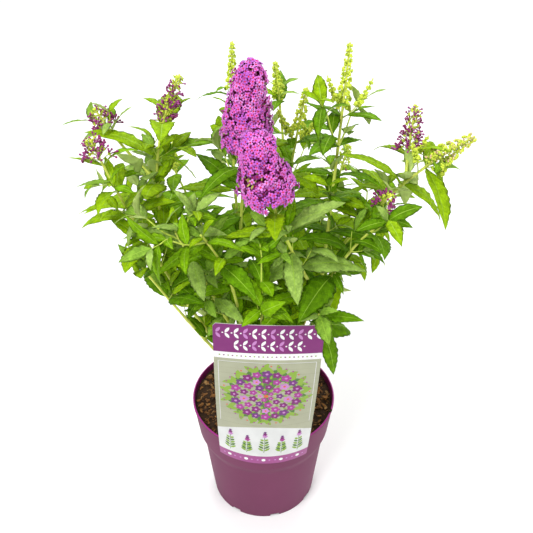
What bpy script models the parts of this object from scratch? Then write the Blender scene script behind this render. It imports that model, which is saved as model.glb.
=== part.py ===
"""Butterfly bush in its purple nursery pot.

The pot holds bark compost. A short woody crown stands on the compost and
carries ten stems. Each stem carries one to four masses of foliage, and each
mass is a leafy shoot that ends in buds, in opening flowers, in a full
panicle or in young leaves. A plant label hangs over the front of the rim.

Metres, +Z up. The origin is the centre of the pot's flat underside, and the
label is at the front, towards -Y.
"""

import itertools
import math
import random

import bmesh
import bpy
from mathutils import Matrix, Vector
from mathutils.bvhtree import BVHTree

# Clearance between neighbouring pieces, and the room kept round each leaf
CLEAR = 0.0003
LEAF_ROOM = 0.0008

# Shares of a mass's faces that may stay once the slivers round its joints are merged, the best first
FACES_KEPT = (0.85, 0.70, 1.0)

# Pot: a 19 cm nursery pot with a rolled lip and a collar
RIM_RADIUS = 0.095
POT_HEIGHT = 0.170
LIP_HEIGHT = 0.004
COLLAR_TOP_RADIUS = 0.0942
COLLAR_FOOT_RADIUS = 0.0886
COLLAR_FOOT = 0.1205
SHOULDER_RADIUS = 0.0828
SHOULDER_FOOT = 0.1065
SHOULDER_STEPS = 5
BASE_RADIUS = 0.0718
POT_WALL = 0.0016
POT_FLOOR = 0.0022
POT_SEGMENTS = 32
NOTCH_COUNT = 8
NOTCH_WIDTH = 0.013
NOTCH_HEIGHT = 0.0045
NOTCH_INNER_RADIUS = 0.061

# Compost
SOIL_LEVEL = 0.1615
SOIL_BUMP = 0.0022
SOIL_FLAT_RADIUS = 0.018
SOIL_SEGMENTS = 32
SOIL_RINGS = (0.80, 0.58, 0.38)
SOIL_GAP = 0.0005

# Label: a card that leans forward over the rim, with a tongue inside it
LABEL_WIDTH = 0.119
LABEL_FOOT = 0.1395
LABEL_TOP = 0.3905
LABEL_FOOT_Y = -0.0937
LABEL_TOP_Y = -0.1200
LABEL_THICK = 0.0008
LABEL_FOOT_BEND = 0.0930
LABEL_TOP_BEND = 0.60
LABEL_ROLL = math.radians(1.5)
LABEL_CORNER = 0.004
LABEL_COLUMNS = 10
LABEL_ROWS = 6
TONGUE_WIDTH = 0.036
TONGUE_BEND = 0.088
TONGUE_COLUMNS = 4
TONGUE_ROUTE = (
    (-0.0982, 0.1880),
    (-0.0957, 0.1800),
    (-0.0930, 0.1745),
    (-0.0914, 0.1690),
    (-0.0868, 0.1300),
)

# Crown of the root: the short stump that every stem leaves
CROWN_HEIGHT = 0.025
CROWN_RADII = (0.0150, 0.0108, 0.0098, 0.0092, 0.0062)
CROWN_LEVELS = (0.0, 0.18, 0.45, 0.8, 1.0)
CROWN_LEAN = 0.003
CROWN_SIDES = 12

# Stems: side of the crown they leave (degrees from +X), height on it as a share, bend, tip, radii
STEMS = {
    "stem_right": dict(side=-38, height=0.42, bend=(0.034, -0.044, 0.288), tip=(0.063, -0.071, 0.413),
                       radii=(0.0036, 0.0024)),
    "stem_far_right": dict(side=2, height=0.42, bend=(0.028, -0.003, 0.240), tip=(0.050, -0.008, 0.325),
                           radii=(0.0032, 0.0021)),
    "stem_centre": dict(side=225, height=1.0, bend=(-0.018, -0.013, 0.250), tip=(-0.030, -0.022, 0.325),
                        radii=(0.0034, 0.0022)),
    "stem_inner": dict(side=45, height=0.72, bend=(0.016, 0.014, 0.245), tip=(0.020, 0.018, 0.320),
                       radii=(0.0030, 0.0020)),
    "stem_left": dict(side=172, height=0.42, bend=(-0.036, -0.006, 0.240), tip=(-0.066, -0.016, 0.325),
                      radii=(0.0034, 0.0022)),
    "stem_far_left": dict(side=212, height=0.42, bend=(-0.034, -0.027, 0.234), tip=(-0.062, -0.048, 0.315),
                          radii=(0.0032, 0.0021)),
    "stem_front_left": dict(side=250, height=0.42, bend=(-0.018, -0.034, 0.238), tip=(-0.032, -0.058, 0.325),
                            radii=(0.0032, 0.0021)),
    "stem_front": dict(side=287, height=0.42, bend=(0.006, -0.037, 0.232), tip=(0.000, -0.064, 0.315),
                       radii=(0.0030, 0.0020)),
    "stem_back_left": dict(side=122, height=0.42, bend=(-0.018, 0.034, 0.240), tip=(-0.026, 0.062, 0.325),
                           radii=(0.0034, 0.0022)),
    "stem_back_right": dict(side=66, height=0.42, bend=(0.024, 0.036, 0.238), tip=(0.044, 0.066, 0.320),
                            radii=(0.0034, 0.0022)),
}

# Foliage: stem, place on it, bend, tip, leaf pairs, leaf lengths low and high, what ends it and its
# length, pairs with side shoots, and the turn of its first pair in degrees. A fork is one more shoot
# of the same mass, and its place is a share of the main shoot. Some rows also give the place of the
# first pair, the spread of the last, or leaves that hang low.
MASSES = {
    "foliage_front_bloom": dict(
        stem="stem_right", at=0.95, bend=(0.018, -0.112, 0.508), tip=(-0.008, -0.122, 0.613),
        pairs=4, leaf=(0.069, 0.065), end="panicle", length=0.084, sides=1, turn=4, spread=50, first=0.20),
    "foliage_tall": dict(
        stem="stem_right", at=1.0, bend=(0.075, -0.034, 0.528), tip=(0.085, -0.004, 0.649),
        pairs=6, leaf=(0.085, 0.042), end="buds", length=0.064, sides=2, turn=54, first=0.10, spread=62),
    "foliage_right_low": dict(
        stem="stem_right", at=0.88, bend=(0.088, -0.074, 0.447), tip=(0.114, -0.079, 0.484),
        pairs=3, leaf=(0.092, 0.080), end="leaves", length=0.012, sides=1, turn=67, spread=54, first=0.25),
    "foliage_front_right": dict(
        stem="stem_right", at=0.68, bend=(0.064, -0.086, 0.364), tip=(0.058, -0.118, 0.404),
        pairs=3, leaf=(0.098, 0.050), end="leaves", length=0.010, sides=0, turn=0, spread=70, hangs=True),
    "foliage_far_right": dict(
        stem="stem_far_right", at=1.0, bend=(0.114, -0.029, 0.468), tip=(0.209, -0.043, 0.569),
        pairs=8, leaf=(0.101, 0.082), end="buds", length=0.055, sides=0, turn=9, spread=74,
        forks=(dict(at=0.70, bend=(0.152, -0.016, 0.540), tip=(0.157, 0.000, 0.583),
                    pairs=2, leaf=(0.062, 0.055), end="opening", length=0.045, turn=45),
               dict(at=0.55, bend=(0.120, -0.056, 0.496), tip=(0.126, -0.076, 0.521),
                    pairs=1, leaf=(0.050, 0.045), end="opening", length=0.022, turn=0))),
    "foliage_back_low_right": dict(
        stem="stem_far_right", at=0.80, bend=(0.088, 0.026, 0.345), tip=(0.132, 0.048, 0.430),
        pairs=5, leaf=(0.092, 0.065), end="leaves", length=0.012, sides=2, turn=36, spread=70),
    "foliage_top_bloom": dict(
        stem="stem_centre", at=1.0, bend=(-0.022, -0.031, 0.490), tip=(-0.010, -0.031, 0.642),
        pairs=7, leaf=(0.103, 0.075), end="panicle", length=0.100, sides=2, turn=49, spread=62),
    "foliage_inner": dict(
        stem="stem_inner", at=1.0, bend=(0.026, 0.022, 0.452), tip=(0.046, 0.024, 0.592),
        pairs=7, leaf=(0.082, 0.067), end="buds", length=0.055, sides=1, turn=20, spread=62),
    "foliage_left": dict(
        stem="stem_left", at=1.0, bend=(-0.113, -0.019, 0.475), tip=(-0.082, -0.006, 0.619),
        pairs=8, leaf=(0.111, 0.078), end="opening", length=0.055, sides=0, turn=0, spread=46,
        forks=(dict(at=0.60, bend=(-0.147, -0.002, 0.537), tip=(-0.174, 0.006, 0.577),
                    pairs=2, leaf=(0.055, 0.045), end="opening", length=0.028, turn=75),)),
    "foliage_far_left": dict(
        stem="stem_far_left", at=1.0, bend=(-0.119, -0.068, 0.455), tip=(-0.164, -0.069, 0.579),
        pairs=8, leaf=(0.086, 0.046), end="opening", length=0.028, sides=1, turn=85, spread=46),
    "foliage_left_low": dict(
        stem="stem_far_left", at=0.76, bend=(-0.086, -0.076, 0.364), tip=(-0.124, -0.094, 0.446),
        pairs=5, leaf=(0.090, 0.057), end="leaves", length=0.012, sides=0, turn=49, spread=46),
    "foliage_front_left": dict(
        stem="stem_front_left", at=1.0, bend=(-0.058, -0.086, 0.415), tip=(-0.087, -0.104, 0.500),
        pairs=6, leaf=(0.085, 0.063), end="leaves", length=0.012, sides=1, turn=76, spread=62),
    "foliage_front_high": dict(
        stem="stem_front_left", at=0.88, bend=(-0.032, -0.094, 0.420), tip=(-0.058, -0.130, 0.510),
        pairs=5, leaf=(0.069, 0.067), end="leaves", length=0.012, sides=1, turn=40, spread=58),
    "foliage_front_low": dict(
        stem="stem_front", at=1.0, bend=(-0.001, -0.098, 0.385), tip=(-0.001, -0.134, 0.442),
        pairs=4, leaf=(0.088, 0.062), end="leaves", length=0.010, sides=1, turn=0, spread=70),
    "foliage_back_tall": dict(
        stem="stem_back_left", at=1.0, bend=(-0.036, 0.096, 0.465), tip=(-0.035, 0.118, 0.609),
        pairs=7, leaf=(0.077, 0.051), end="buds", length=0.055, sides=0, turn=15, first=0.18, spread=58),
    "foliage_back_left": dict(
        stem="stem_back_left", at=0.80, bend=(-0.080, 0.096, 0.380), tip=(-0.126, 0.118, 0.486),
        pairs=7, leaf=(0.103, 0.066), end="buds", length=0.040, sides=1, turn=81, spread=74),
    "foliage_back_low_left": dict(
        stem="stem_left", at=0.78, bend=(-0.096, 0.030, 0.372), tip=(-0.150, 0.048, 0.468),
        pairs=5, leaf=(0.086, 0.071), end="leaves", length=0.012, sides=1, turn=10, first=0.18, spread=58),
    "foliage_back_middle": dict(
        stem="stem_back_right", at=0.88, bend=(0.028, 0.096, 0.445), tip=(0.014, 0.112, 0.588),
        pairs=7, leaf=(0.082, 0.056), end="buds", length=0.045, sides=0, turn=85, spread=50),
    "foliage_back_right": dict(
        stem="stem_back_right", at=1.0, bend=(0.080, 0.096, 0.400), tip=(0.104, 0.108, 0.486),
        pairs=7, leaf=(0.090, 0.055), end="opening", length=0.032, sides=0, turn=49, spread=70),
    "foliage_back_low": dict(
        stem="stem_back_right", at=0.70, bend=(0.036, 0.112, 0.335), tip=(0.030, 0.166, 0.420),
        pairs=5, leaf=(0.095, 0.068), end="leaves", length=0.012, sides=1, turn=4),
}

# Shoots, twigs and leaves
STEM_SIDES = 6
STEM_STEPS = 5
SHOOT_RADII = (0.0020, 0.0011)
SHOOT_SIDES = 4
SHOOT_STEPS = 6
TWIG_RADII = (0.0011, 0.0007)
TWIG_LENGTH = (0.030, 0.046)
FLOWER_TWIG_LENGTH = (0.014, 0.022)
TWIG_STEPS = 2
TWIG_LEAF = 0.034
FIRST_PAIR = 0.05
LEAF_SPREAD = (76, 50)
LEAF_ARCH = (30, 75)
LEAF_WIDTH = (0.34, 0.42)
LEAF_KEEL = 0.016
LEAF_LIFT = 0.10
LEAF_ROOT = 0.0007
LEAF_SECTIONS = ((0.32, 1.0), (0.68, 0.70))
BLADE_START = 0.12
LOWEST_TIP = 0.285
SKIRT_START = 0.075
SKIRT_RISE = 1.6
SKIRT_HEIGHT = 0.135
SKIRT_FRONT = 0.30
LABEL_RISE = 0.80
TRIES = 11

# Blossom
PANICLE_RADIUS = 0.0255
PANICLE_SHAPE = ((0.00, 0.28), (0.05, 0.78), (0.16, 1.00), (0.30, 0.98), (0.44, 0.90), (0.58, 0.80),
                 (0.72, 0.68), (0.86, 0.53), (0.97, 0.30))
PANICLE_SIDES = 10
FLORET_BUMP = 0.12
BUD_RADIUS = 0.0075
BUD_WHORLS = 6
BUD_SIDES = 4
SIDE_BUD_LENGTH = 0.026
SIDE_BUD_WHORLS = 3
OPENING_RADIUS = 0.0055
OPENING_SHAPE = ((0.02, 0.4), (0.20, 1.0), (0.55, 0.8), (0.85, 0.5))
TUBE_LENGTH = 0.0125
TUBE_RADIUS = 0.0013
TUBE_COUNT = 9

COLOURS = {
    "pot_plastic": ((0.235, 0.045, 0.145), 0.45),
    "bark_compost": ((0.060, 0.030, 0.014), 0.95),
    "label_card": ((0.360, 0.300, 0.330), 0.50),
    "woody_stem": ((0.290, 0.220, 0.090), 0.75),
    "leafy_shoot": ((0.125, 0.300, 0.030), 0.60),
}


def material(name):
    """The named plain material, made once."""
    found = bpy.data.materials.get(name)
    if found:
        return found
    colour, roughness = COLOURS[name]
    made = bpy.data.materials.new(name)
    made.use_nodes = True
    shader = made.node_tree.nodes["Principled BSDF"]
    shader.inputs["Base Color"].default_value = (*colour, 1.0)
    shader.inputs["Roughness"].default_value = roughness
    shader.inputs["Metallic"].default_value = 0.0
    return made


def add_object(name, shell, slot):
    """One closed object from a shell, which is its points and its faces."""
    points, faces = shell
    mesh = bpy.data.meshes.new(name)
    mesh.from_pydata([tuple(point) for point in points], [], faces)
    body = bmesh.new()
    body.from_mesh(mesh)
    bmesh.ops.recalc_face_normals(body, faces=body.faces)
    body.to_mesh(mesh)
    body.free()
    mesh.materials.append(material(slot))
    made = bpy.data.objects.new(name, mesh)
    bpy.context.scene.collection.objects.link(made)
    return made


def drop_scraps(body):
    """Keeps the body's largest shell."""
    seen = set()
    shells = []
    for face in body.faces:
        if face in seen:
            continue
        shell = {face}
        front = [face]
        while front:
            for edge in front.pop().edges:
                for other in edge.link_faces:
                    if other not in shell:
                        shell.add(other)
                        front.append(other)
        seen |= shell
        shells.append(shell)
    shells.sort(key=len)
    for shell in shells[:-1]:
        bmesh.ops.delete(body, geom=list(shell), context="FACES")


def apex_of(face, edge):
    return next(spot for spot in face.verts if spot not in edge.verts)


def part_edges(body):
    """Frees each edge that four triangles share: the two that lie flattest take their other diagonal."""
    for edge in [edge for edge in body.edges if len(edge.link_faces) == 4]:
        start, end = edge.verts
        along = (end.co - start.co).normalized()
        pairs = []
        for first, mate in itertools.combinations(edge.link_faces, 2):
            apex = apex_of(first, edge)
            other = apex_of(mate, edge)
            if apex is other:
                continue
            fold = side_of(along, apex.co - start.co).dot(side_of(along, other.co - start.co))
            pairs.append((fold, first, mate, apex, other))
        fold, first, mate, apex, other = min(pairs, key=lambda pair: pair[0])
        corners = [loop.vert for loop in first.loops]
        if corners[(corners.index(start) + 1) % 3] is not end:
            start, end = end, start
        bmesh.ops.delete(body, geom=[first, mate], context="FACES_ONLY")
        body.faces.new((start, other, apex))
        body.faces.new((other, end, apex))


def settle(obj):
    """Applies the object's modifiers, keeps its largest shell, and says whether that is closed."""
    graph = bpy.context.evaluated_depsgraph_get()
    mesh = bpy.data.meshes.new_from_object(obj.evaluated_get(graph))
    obj.modifiers.clear()
    obj.data = mesh
    body = bmesh.new()
    body.from_mesh(mesh)
    bmesh.ops.triangulate(body, faces=body.faces)
    drop_scraps(body)
    part_edges(body)
    closed = all(len(edge.link_faces) == 2 for edge in body.edges)
    body.to_mesh(mesh)
    body.free()
    return closed


def fuse(base, others, faces_kept=(1.0,)):
    """One Boolean union of the base with every other object, thinned as far as it stays closed."""
    group = bpy.data.collections.new(base.name + "_parts")
    bpy.context.scene.collection.children.link(group)
    for other in others:
        bpy.context.scene.collection.objects.unlink(other)
        group.objects.link(other)
    plain = base.data
    for solver in ("EXACT", "MANIFOLD"):
        base.data = plain.copy()
        union = base.modifiers.new("union", "BOOLEAN")
        union.operation = "UNION"
        union.operand_type = "COLLECTION"
        union.collection = group
        union.solver = solver
        if settle(base):
            break
    whole = base.data
    for share in faces_kept:
        base.data = whole.copy()
        thin = base.modifiers.new("thin", "DECIMATE")
        thin.ratio = share
        if settle(base):
            break
    for other in others:
        bpy.data.objects.remove(other, do_unlink=True)
    bpy.data.collections.remove(group)


def bow(start, bend, tip, count):
    """Points of a smooth bow from start, through bend at its middle, to tip."""
    pull = 2 * bend - (start + tip) / 2
    points = []
    for step in range(count + 1):
        t = step / count
        points.append((1 - t) ** 2 * start + 2 * t * (1 - t) * pull + t * t * tip)
    return points


def place_on(points, share):
    """The point and the direction at a share of a route's steps."""
    place = min(max(share, 0.0), 1.0) * (len(points) - 1)
    low = min(int(place), len(points) - 2)
    step = points[low + 1] - points[low]
    return points[low] + step * (place - low), step.normalized()


def side_of(direction, wish):
    """The unit vector nearest to the wish that is square to the direction."""
    across = wish - direction * wish.dot(direction)
    if across.length < 1e-6:
        across = direction.orthogonal()
    return across.normalized()


def tube(points, radii, sides, turn=0.0):
    """A closed tube along the points, whose radii run evenly from the first to the last given."""
    last = len(points) - 1
    spots = []
    faces = []
    for index, point in enumerate(points):
        ahead = points[min(index + 1, last)] - points[max(index - 1, 0)]
        ahead.normalize()
        across = Matrix.Rotation(turn, 3, ahead) @ side_of(ahead, Vector((1.0, 0.0, 0.0)))
        other = ahead.cross(across)
        place = index / last * (len(radii) - 1)
        low = min(int(place), len(radii) - 2)
        radius = radii[low] + (radii[low + 1] - radii[low]) * (place - low)
        for corner in range(sides):
            angle = 2 * math.pi * corner / sides
            spots.append(point + radius * (math.cos(angle) * across + math.sin(angle) * other))
    for index in range(last):
        for corner in range(sides):
            right = (corner + 1) % sides
            near = index * sides
            far = near + sides
            faces.append((near + corner, near + right, far + right, far + corner))
    faces.append(tuple(reversed(range(sides))))
    faces.append(tuple(range(last * sides, (last + 1) * sides)))
    return spots, faces


def seat(route, share, limb_radius, wish, radius):
    """Where a twig of the given radius starts, just clear of the limb that carries it."""
    point, ahead = place_on(route, share)
    aim = wish - point
    if share >= 1.0:
        out = ahead
    else:
        out = side_of(ahead, aim)
    tilt = math.sqrt(max(0.0, 1.0 - aim.normalized().dot(out) ** 2))
    gap = CLEAR + radius * tilt
    if share < 1.0:
        gap += limb_radius
    return point + out * gap


# Leaves

def leaf_point(leaf, share):
    """The midrib's point, and the leaf's upward normal there."""
    turn = leaf["arch"] * share
    scale = leaf["length"] / leaf["arch"]
    ahead = leaf["ahead"]
    upper = leaf["upper"]
    point = leaf["root"] + scale * (ahead * math.sin(turn) - upper * (1 - math.cos(turn)))
    return point, upper * math.cos(turn) + ahead * math.sin(turn)


def leaf_shell(leaf, room=0.0, start=0.0):
    """A leaf as a thin keeled blade, with room added all round it where asked."""
    across = leaf["ahead"].cross(leaf["upper"])
    points = []
    faces = [(0, 2, 1)]
    sections = [(start, None)] + list(LEAF_SECTIONS[:leaf["sections"]])
    for share, width in sections:
        middle, upper = leaf_point(leaf, share)
        if width is None:
            half = LEAF_ROOT
            keel = LEAF_ROOT
            lift = 0.0
        else:
            half = leaf["width"] / 2 * width
            keel = leaf["length"] * LEAF_KEEL * width
            lift = half * LEAF_LIFT
        edge = upper * (lift + room)
        points.append(middle + across * (half + room) + edge)
        points.append(middle - across * (half + room) + edge)
        points.append(middle - upper * (keel + room))
    tip, upper = leaf_point(leaf, 1.0)
    points.append(tip)
    for ring in range(len(sections) - 1):
        for corner in range(3):
            near = ring * 3
            right = (corner + 1) % 3
            faces.append((near + corner, near + right, near + 3 + right))
            faces.append((near + corner, near + 3 + right, near + 3 + corner))
    near = (len(sections) - 1) * 3
    for corner in range(3):
        faces.append((near + corner, near + (corner + 1) % 3, near + 3))
    return points, faces


def make_leaf(root, axis, around, spread, length, width, arch, sections=2):
    """A leaf that leaves the axis at a spread angle, its upper face towards the light."""
    ahead = axis * math.cos(spread) + around * math.sin(spread)
    upper = side_of(ahead, axis * 0.6 + Vector((0.0, 0.0, 0.5)))
    return dict(root=root, ahead=ahead, upper=upper, length=length, width=width * length,
                arch=arch, sections=sections)


# What is in the crown already, so that no leaf crosses another piece

def tree_of(shell):
    return BVHTree.FromPolygons([tuple(point) for point in shell[0]], shell[1])


def keep(taken, owner, whole, blade=None):
    """Notes a piece: its owner, its ball, its whole shell, and the part of it away from its root."""
    points = whole[0]
    middle = sum(points, Vector()) / len(points)
    reach = max((point - middle).length for point in points)
    tree = tree_of(whole)
    taken.append((owner, middle, reach, tree, tree_of(blade) if blade else tree))


def is_free(taken, owner, parent, whole, blade):
    """Whether a leaf or twig clears the pieces of other owners, and its own mass beyond its root."""
    points = whole[0]
    middle = sum(points, Vector()) / len(points)
    reach = max((point - middle).length for point in points)
    tree = tree_of(whole)
    outer = tree_of(blade)
    for index, (other, spot, ball, all_of_it, away) in enumerate(taken):
        if index == parent or (spot - middle).length > ball + reach:
            continue
        if other == owner:
            if outer.overlap(away):
                return False
        elif tree.overlap(all_of_it):
            return False
    return True


def hangs_too_low(tip, owner):
    """Whether a leaf's tip would hang below the crown's underside or in front of the label."""
    if tip.y < LABEL_FOOT_Y and abs(tip.x) < LABEL_WIDTH / 2 + LEAF_ROOM:
        return tip.z < LABEL_TOP + LABEL_RISE * max(0.0, LABEL_TOP_Y - tip.y)
    if MASSES.get(owner, {}).get("hangs"):
        return tip.z < LOWEST_TIP
    rise = min(SKIRT_RISE * max(0.0, math.hypot(tip.x, tip.y) - SKIRT_START), SKIRT_HEIGHT)
    return tip.z < LOWEST_TIP + rise + SKIRT_FRONT * max(0.0, -tip.y)


def place_leaf(taken, owner, parent, key, root, axis, around, spread, length, sections=2):
    """Tries the leaf's own place, then others near it, and gives None when each is taken."""
    chance = random.Random(key)
    arch = math.radians(chance.uniform(*LEAF_ARCH))
    width = chance.uniform(*LEAF_WIDTH)
    spread = spread + math.radians(chance.uniform(-6, 6))
    length = length * chance.uniform(0.9, 1.1)
    for attempt in range(TRIES):
        side = 1 if attempt % 2 else -1
        turn = side * math.radians(11) * ((attempt + 1) // 2)
        aside = Matrix.Rotation(turn, 3, axis) @ around
        leaf = make_leaf(root, axis, aside, spread, length * (1 - 0.035 * attempt), width, arch, sections)
        if hangs_too_low(leaf_point(leaf, 1.0)[0], owner):
            continue
        whole = leaf_shell(leaf, LEAF_ROOM)
        blade = leaf_shell(leaf, LEAF_ROOM, BLADE_START)
        if is_free(taken, owner, parent, whole, blade):
            keep(taken, owner, whole, blade)
            return leaf
    return None


# Blossom

def ringed(route, start, rings, sides, bump, key):
    """A closed lumpy body round the end of a route, from rings of place and radius."""
    chance = random.Random(key)
    points = []
    faces = []
    across = None
    for index, (share, radius) in enumerate(rings):
        middle, ahead = place_on(route, start + (1 - start) * share)
        across = side_of(ahead, across or Vector((1.0, 0.2, 0.0)))
        other = ahead.cross(across)
        for corner in range(sides):
            angle = 2 * math.pi * (corner + 0.5 * (index % 2)) / sides
            lump = radius * (1 + bump * chance.uniform(-1, 1))
            points.append(middle + lump * (math.cos(angle) * across + math.sin(angle) * other))
    for index in range(len(rings) - 1):
        for corner in range(sides):
            right = (corner + 1) % sides
            near = index * sides
            far = near + sides
            if index % 2:
                faces.append((near + corner, near + right, far + right))
                faces.append((near + corner, far + right, far + corner))
            else:
                faces.append((near + corner, near + right, far + corner))
                faces.append((near + right, far + right, far + corner))
    faces.append(tuple(reversed(range(sides))))
    top = (len(rings) - 1) * sides
    points.append(route[-1])
    for corner in range(sides):
        faces.append((top + corner, top + (corner + 1) % sides, len(points) - 1))
    return points, faces


def panicle(route, start, key):
    """A full panicle: a blunt cone of florets."""
    rings = [(share, PANICLE_RADIUS * size) for share, size in PANICLE_SHAPE]
    return [ringed(route, start, rings, PANICLE_SIDES, FLORET_BUMP, key)]


def bud_spike(route, start, whorls, radius, key):
    """A spike of green buds: whorls that grow smaller towards its tip."""
    rings = []
    for whorl in range(whorls):
        share = whorl / whorls
        size = radius * (1 - 0.72 * share)
        rings.append((share + 0.02, size * 0.35))
        rings.append((share + 0.55 / whorls, size))
    return [ringed(route, start, rings, BUD_SIDES, 0.18, key)]


def opening_cluster(route, start, key):
    """A short spindle of buds with slender closed flowers that stand out of it."""
    chance = random.Random(key)
    rings = [(share, OPENING_RADIUS * size) for share, size in OPENING_SHAPE]
    shells = [ringed(route, start, rings, BUD_SIDES, 0.15, key)]
    for number in range(TUBE_COUNT):
        share = start + (1 - start) * (0.12 + 0.66 * number / TUBE_COUNT)
        middle, ahead = place_on(route, share)
        turn = number * 2.4 + chance.uniform(-0.3, 0.3)
        around = Matrix.Rotation(turn, 3, ahead) @ side_of(ahead, Vector((1.0, 0.0, 0.0)))
        aim = (around + ahead * chance.uniform(0.3, 0.9)).normalized()
        tip = middle + aim * TUBE_LENGTH * chance.uniform(0.85, 1.15)
        points, _ = tube([middle, tip], (TUBE_RADIUS, TUBE_RADIUS), 3)
        shells.append((points[:3] + [tip], [(0, 2, 1), (0, 1, 3), (1, 2, 3), (2, 0, 3)]))
    return shells


# Masses of foliage

def shoot_length(route):
    return sum((after - before).length for before, after in zip(route, route[1:]))


def plan_shoot(name, number, row, start):
    """A shoot's route and where its blossom starts."""
    route = bow(start, Vector(row["bend"]), Vector(row["tip"]), SHOOT_STEPS)
    return dict(name=name, key="%s %d" % (name, number), row=row, route=route,
                bloom=1 - row["length"] / shoot_length(route))


def shoot_shells(shoot):
    """The closed shells of a shoot's own axis and of its blossom."""
    row = shoot["row"]
    route = shoot["route"]
    turn = math.radians(row["turn"] + 180 / SHOOT_SIDES)
    axis = tube(route[:-1] + [place_on(route, 0.985)[0]], SHOOT_RADII, SHOOT_SIDES, turn)
    if row["end"] == "panicle":
        return axis, panicle(route, shoot["bloom"], shoot["key"])
    if row["end"] == "buds":
        return axis, bud_spike(route, shoot["bloom"], BUD_WHORLS, BUD_RADIUS, shoot["key"])
    if row["end"] == "opening":
        return axis, opening_cluster(route, shoot["bloom"], shoot["key"])
    return axis, []


def grow_twig(taken, shoot, key, root, axis, around, flowers):
    """A side shoot from a leaf's angle: a twig with small leaves, and a spike of buds where it flowers."""
    chance = random.Random(key)
    lean = math.radians(chance.uniform(34, 46))
    ahead = axis * math.cos(lean) + around * math.sin(lean)
    length = chance.uniform(*(FLOWER_TWIG_LENGTH if flowers else TWIG_LENGTH))
    rise = Vector((0.0, 0.0, 0.15 * length))
    route = bow(root, root + ahead * length * 0.5 - rise * 0.3, root + ahead * length + rise, TWIG_STEPS)
    whole = tube(route, (TWIG_RADII[0] + LEAF_ROOM, TWIG_RADII[1] + LEAF_ROOM), 3)
    away = tube(route[1:], (TWIG_RADII[0] + LEAF_ROOM, TWIG_RADII[1] + LEAF_ROOM), 3)
    if not is_free(taken, shoot["name"], shoot["index"], whole, away):
        return [], []
    twig = tube(route, TWIG_RADII, 3)
    index = len(taken)
    keep(taken, shoot["name"], whole, away)
    shells = [twig]
    leaves = []
    if flowers:
        spike = bow(route[-1], route[-1] + ahead * SIDE_BUD_LENGTH * 0.5,
                    route[-1] + ahead * SIDE_BUD_LENGTH + Vector((0, 0, 0.004)), 2)
        spike.insert(0, route[-2])
        spikes = bud_spike(spike, 0.24, SIDE_BUD_WHORLS, BUD_RADIUS * 0.55, key)
        if is_free(taken, shoot["name"], index, spikes[0], spikes[0]):
            keep(taken, shoot["name"], spikes[0])
            shells += spikes
    for pair, share in enumerate((0.55,) if flowers else (0.5, 0.97)):
        point, along = place_on(route, share)
        out = Matrix.Rotation(math.radians(90 * pair + 20), 3, along) @ side_of(along, around)
        for side in (1, -1):
            spread = math.radians(58 - 24 * pair)
            leaf = place_leaf(taken, shoot["name"], index, "%s %d %d" % (key, pair, side), point,
                              along, out * side, spread, TWIG_LEAF * (1.15 - 0.3 * pair), 1)
            if leaf:
                leaves.append(leaf)
    return shells, leaves


def grow_leaves(taken, shoot):
    """Leaf pairs that cross along the shoot, with side shoots in the angles of the upper ones."""
    row = shoot["row"]
    route = shoot["route"]
    key = shoot["key"]
    pairs = row["pairs"]
    first = row.get("first", FIRST_PAIR)
    last = shoot["bloom"] - (0.06 if row["end"] == "panicle" else 0.02)
    shells = []
    leaves = []
    for pair in range(pairs):
        share = pair / max(pairs - 1, 1)
        place = first + (last - first) * share
        point, axis = place_on(route, place)
        turn = math.radians(row["turn"] + 90 * pair)
        across = Matrix.Rotation(turn, 3, axis) @ side_of(axis, Vector((1.0, 0.0, 0.0)))
        spread = math.radians(LEAF_SPREAD[0] + (row.get("spread", LEAF_SPREAD[1]) - LEAF_SPREAD[0]) * share)
        length = row["leaf"][0] + (row["leaf"][1] - row["leaf"][0]) * share
        for side in (1, -1):
            name = "%s pair %d %d" % (key, pair, side)
            leaf = place_leaf(taken, shoot["name"], shoot["index"], name, point, axis,
                              across * side, spread, length)
            if leaf:
                leaves.append(leaf)
            if pair >= pairs - row.get("sides", 0):
                flowers = row["end"] != "leaves" and pair == pairs - 1
                more, small = grow_twig(taken, shoot, name + " twig", point, axis, across * side, flowers)
                shells += more
                leaves += small
    if row["end"] == "leaves":
        point, axis = place_on(route, 0.97)
        for number in range(4):
            across = side_of(axis, Vector((1.0, 0.0, 0.0)))
            around = Matrix.Rotation(math.radians(90 * number + 30), 3, axis) @ across
            spread = math.radians(34 if number % 2 else 22)
            leaf = place_leaf(taken, shoot["name"], shoot["index"], "%s end %d" % (key, number), point,
                              axis, around, spread, TWIG_LEAF * (1.2 if number % 2 else 0.9), 1)
            if leaf:
                leaves.append(leaf)
    return shells, leaves


def mass_objects(name, shells, leaves):
    """The mass as one fused object."""
    base = add_object(name, shells[0], "leafy_shoot")
    others = []
    for number, shell in enumerate(shells[1:] + [leaf_shell(leaf) for leaf in leaves]):
        others.append(add_object("%s_%03d" % (name, number), shell, "leafy_shoot"))
    fuse(base, others, FACES_KEPT)
    return base


def crown_radius(share):
    for low in range(len(CROWN_LEVELS) - 1):
        if share <= CROWN_LEVELS[low + 1]:
            span = CROWN_LEVELS[low + 1] - CROWN_LEVELS[low]
            part = (share - CROWN_LEVELS[low]) / span
            return CROWN_RADII[low] + (CROWN_RADII[low + 1] - CROWN_RADII[low]) * part
    return CROWN_RADII[-1]


def crown_point(share):
    foot = SOIL_LEVEL + CLEAR
    return Vector((-CROWN_LEAN * share, 0.0, foot + CROWN_HEIGHT * share))


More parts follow.
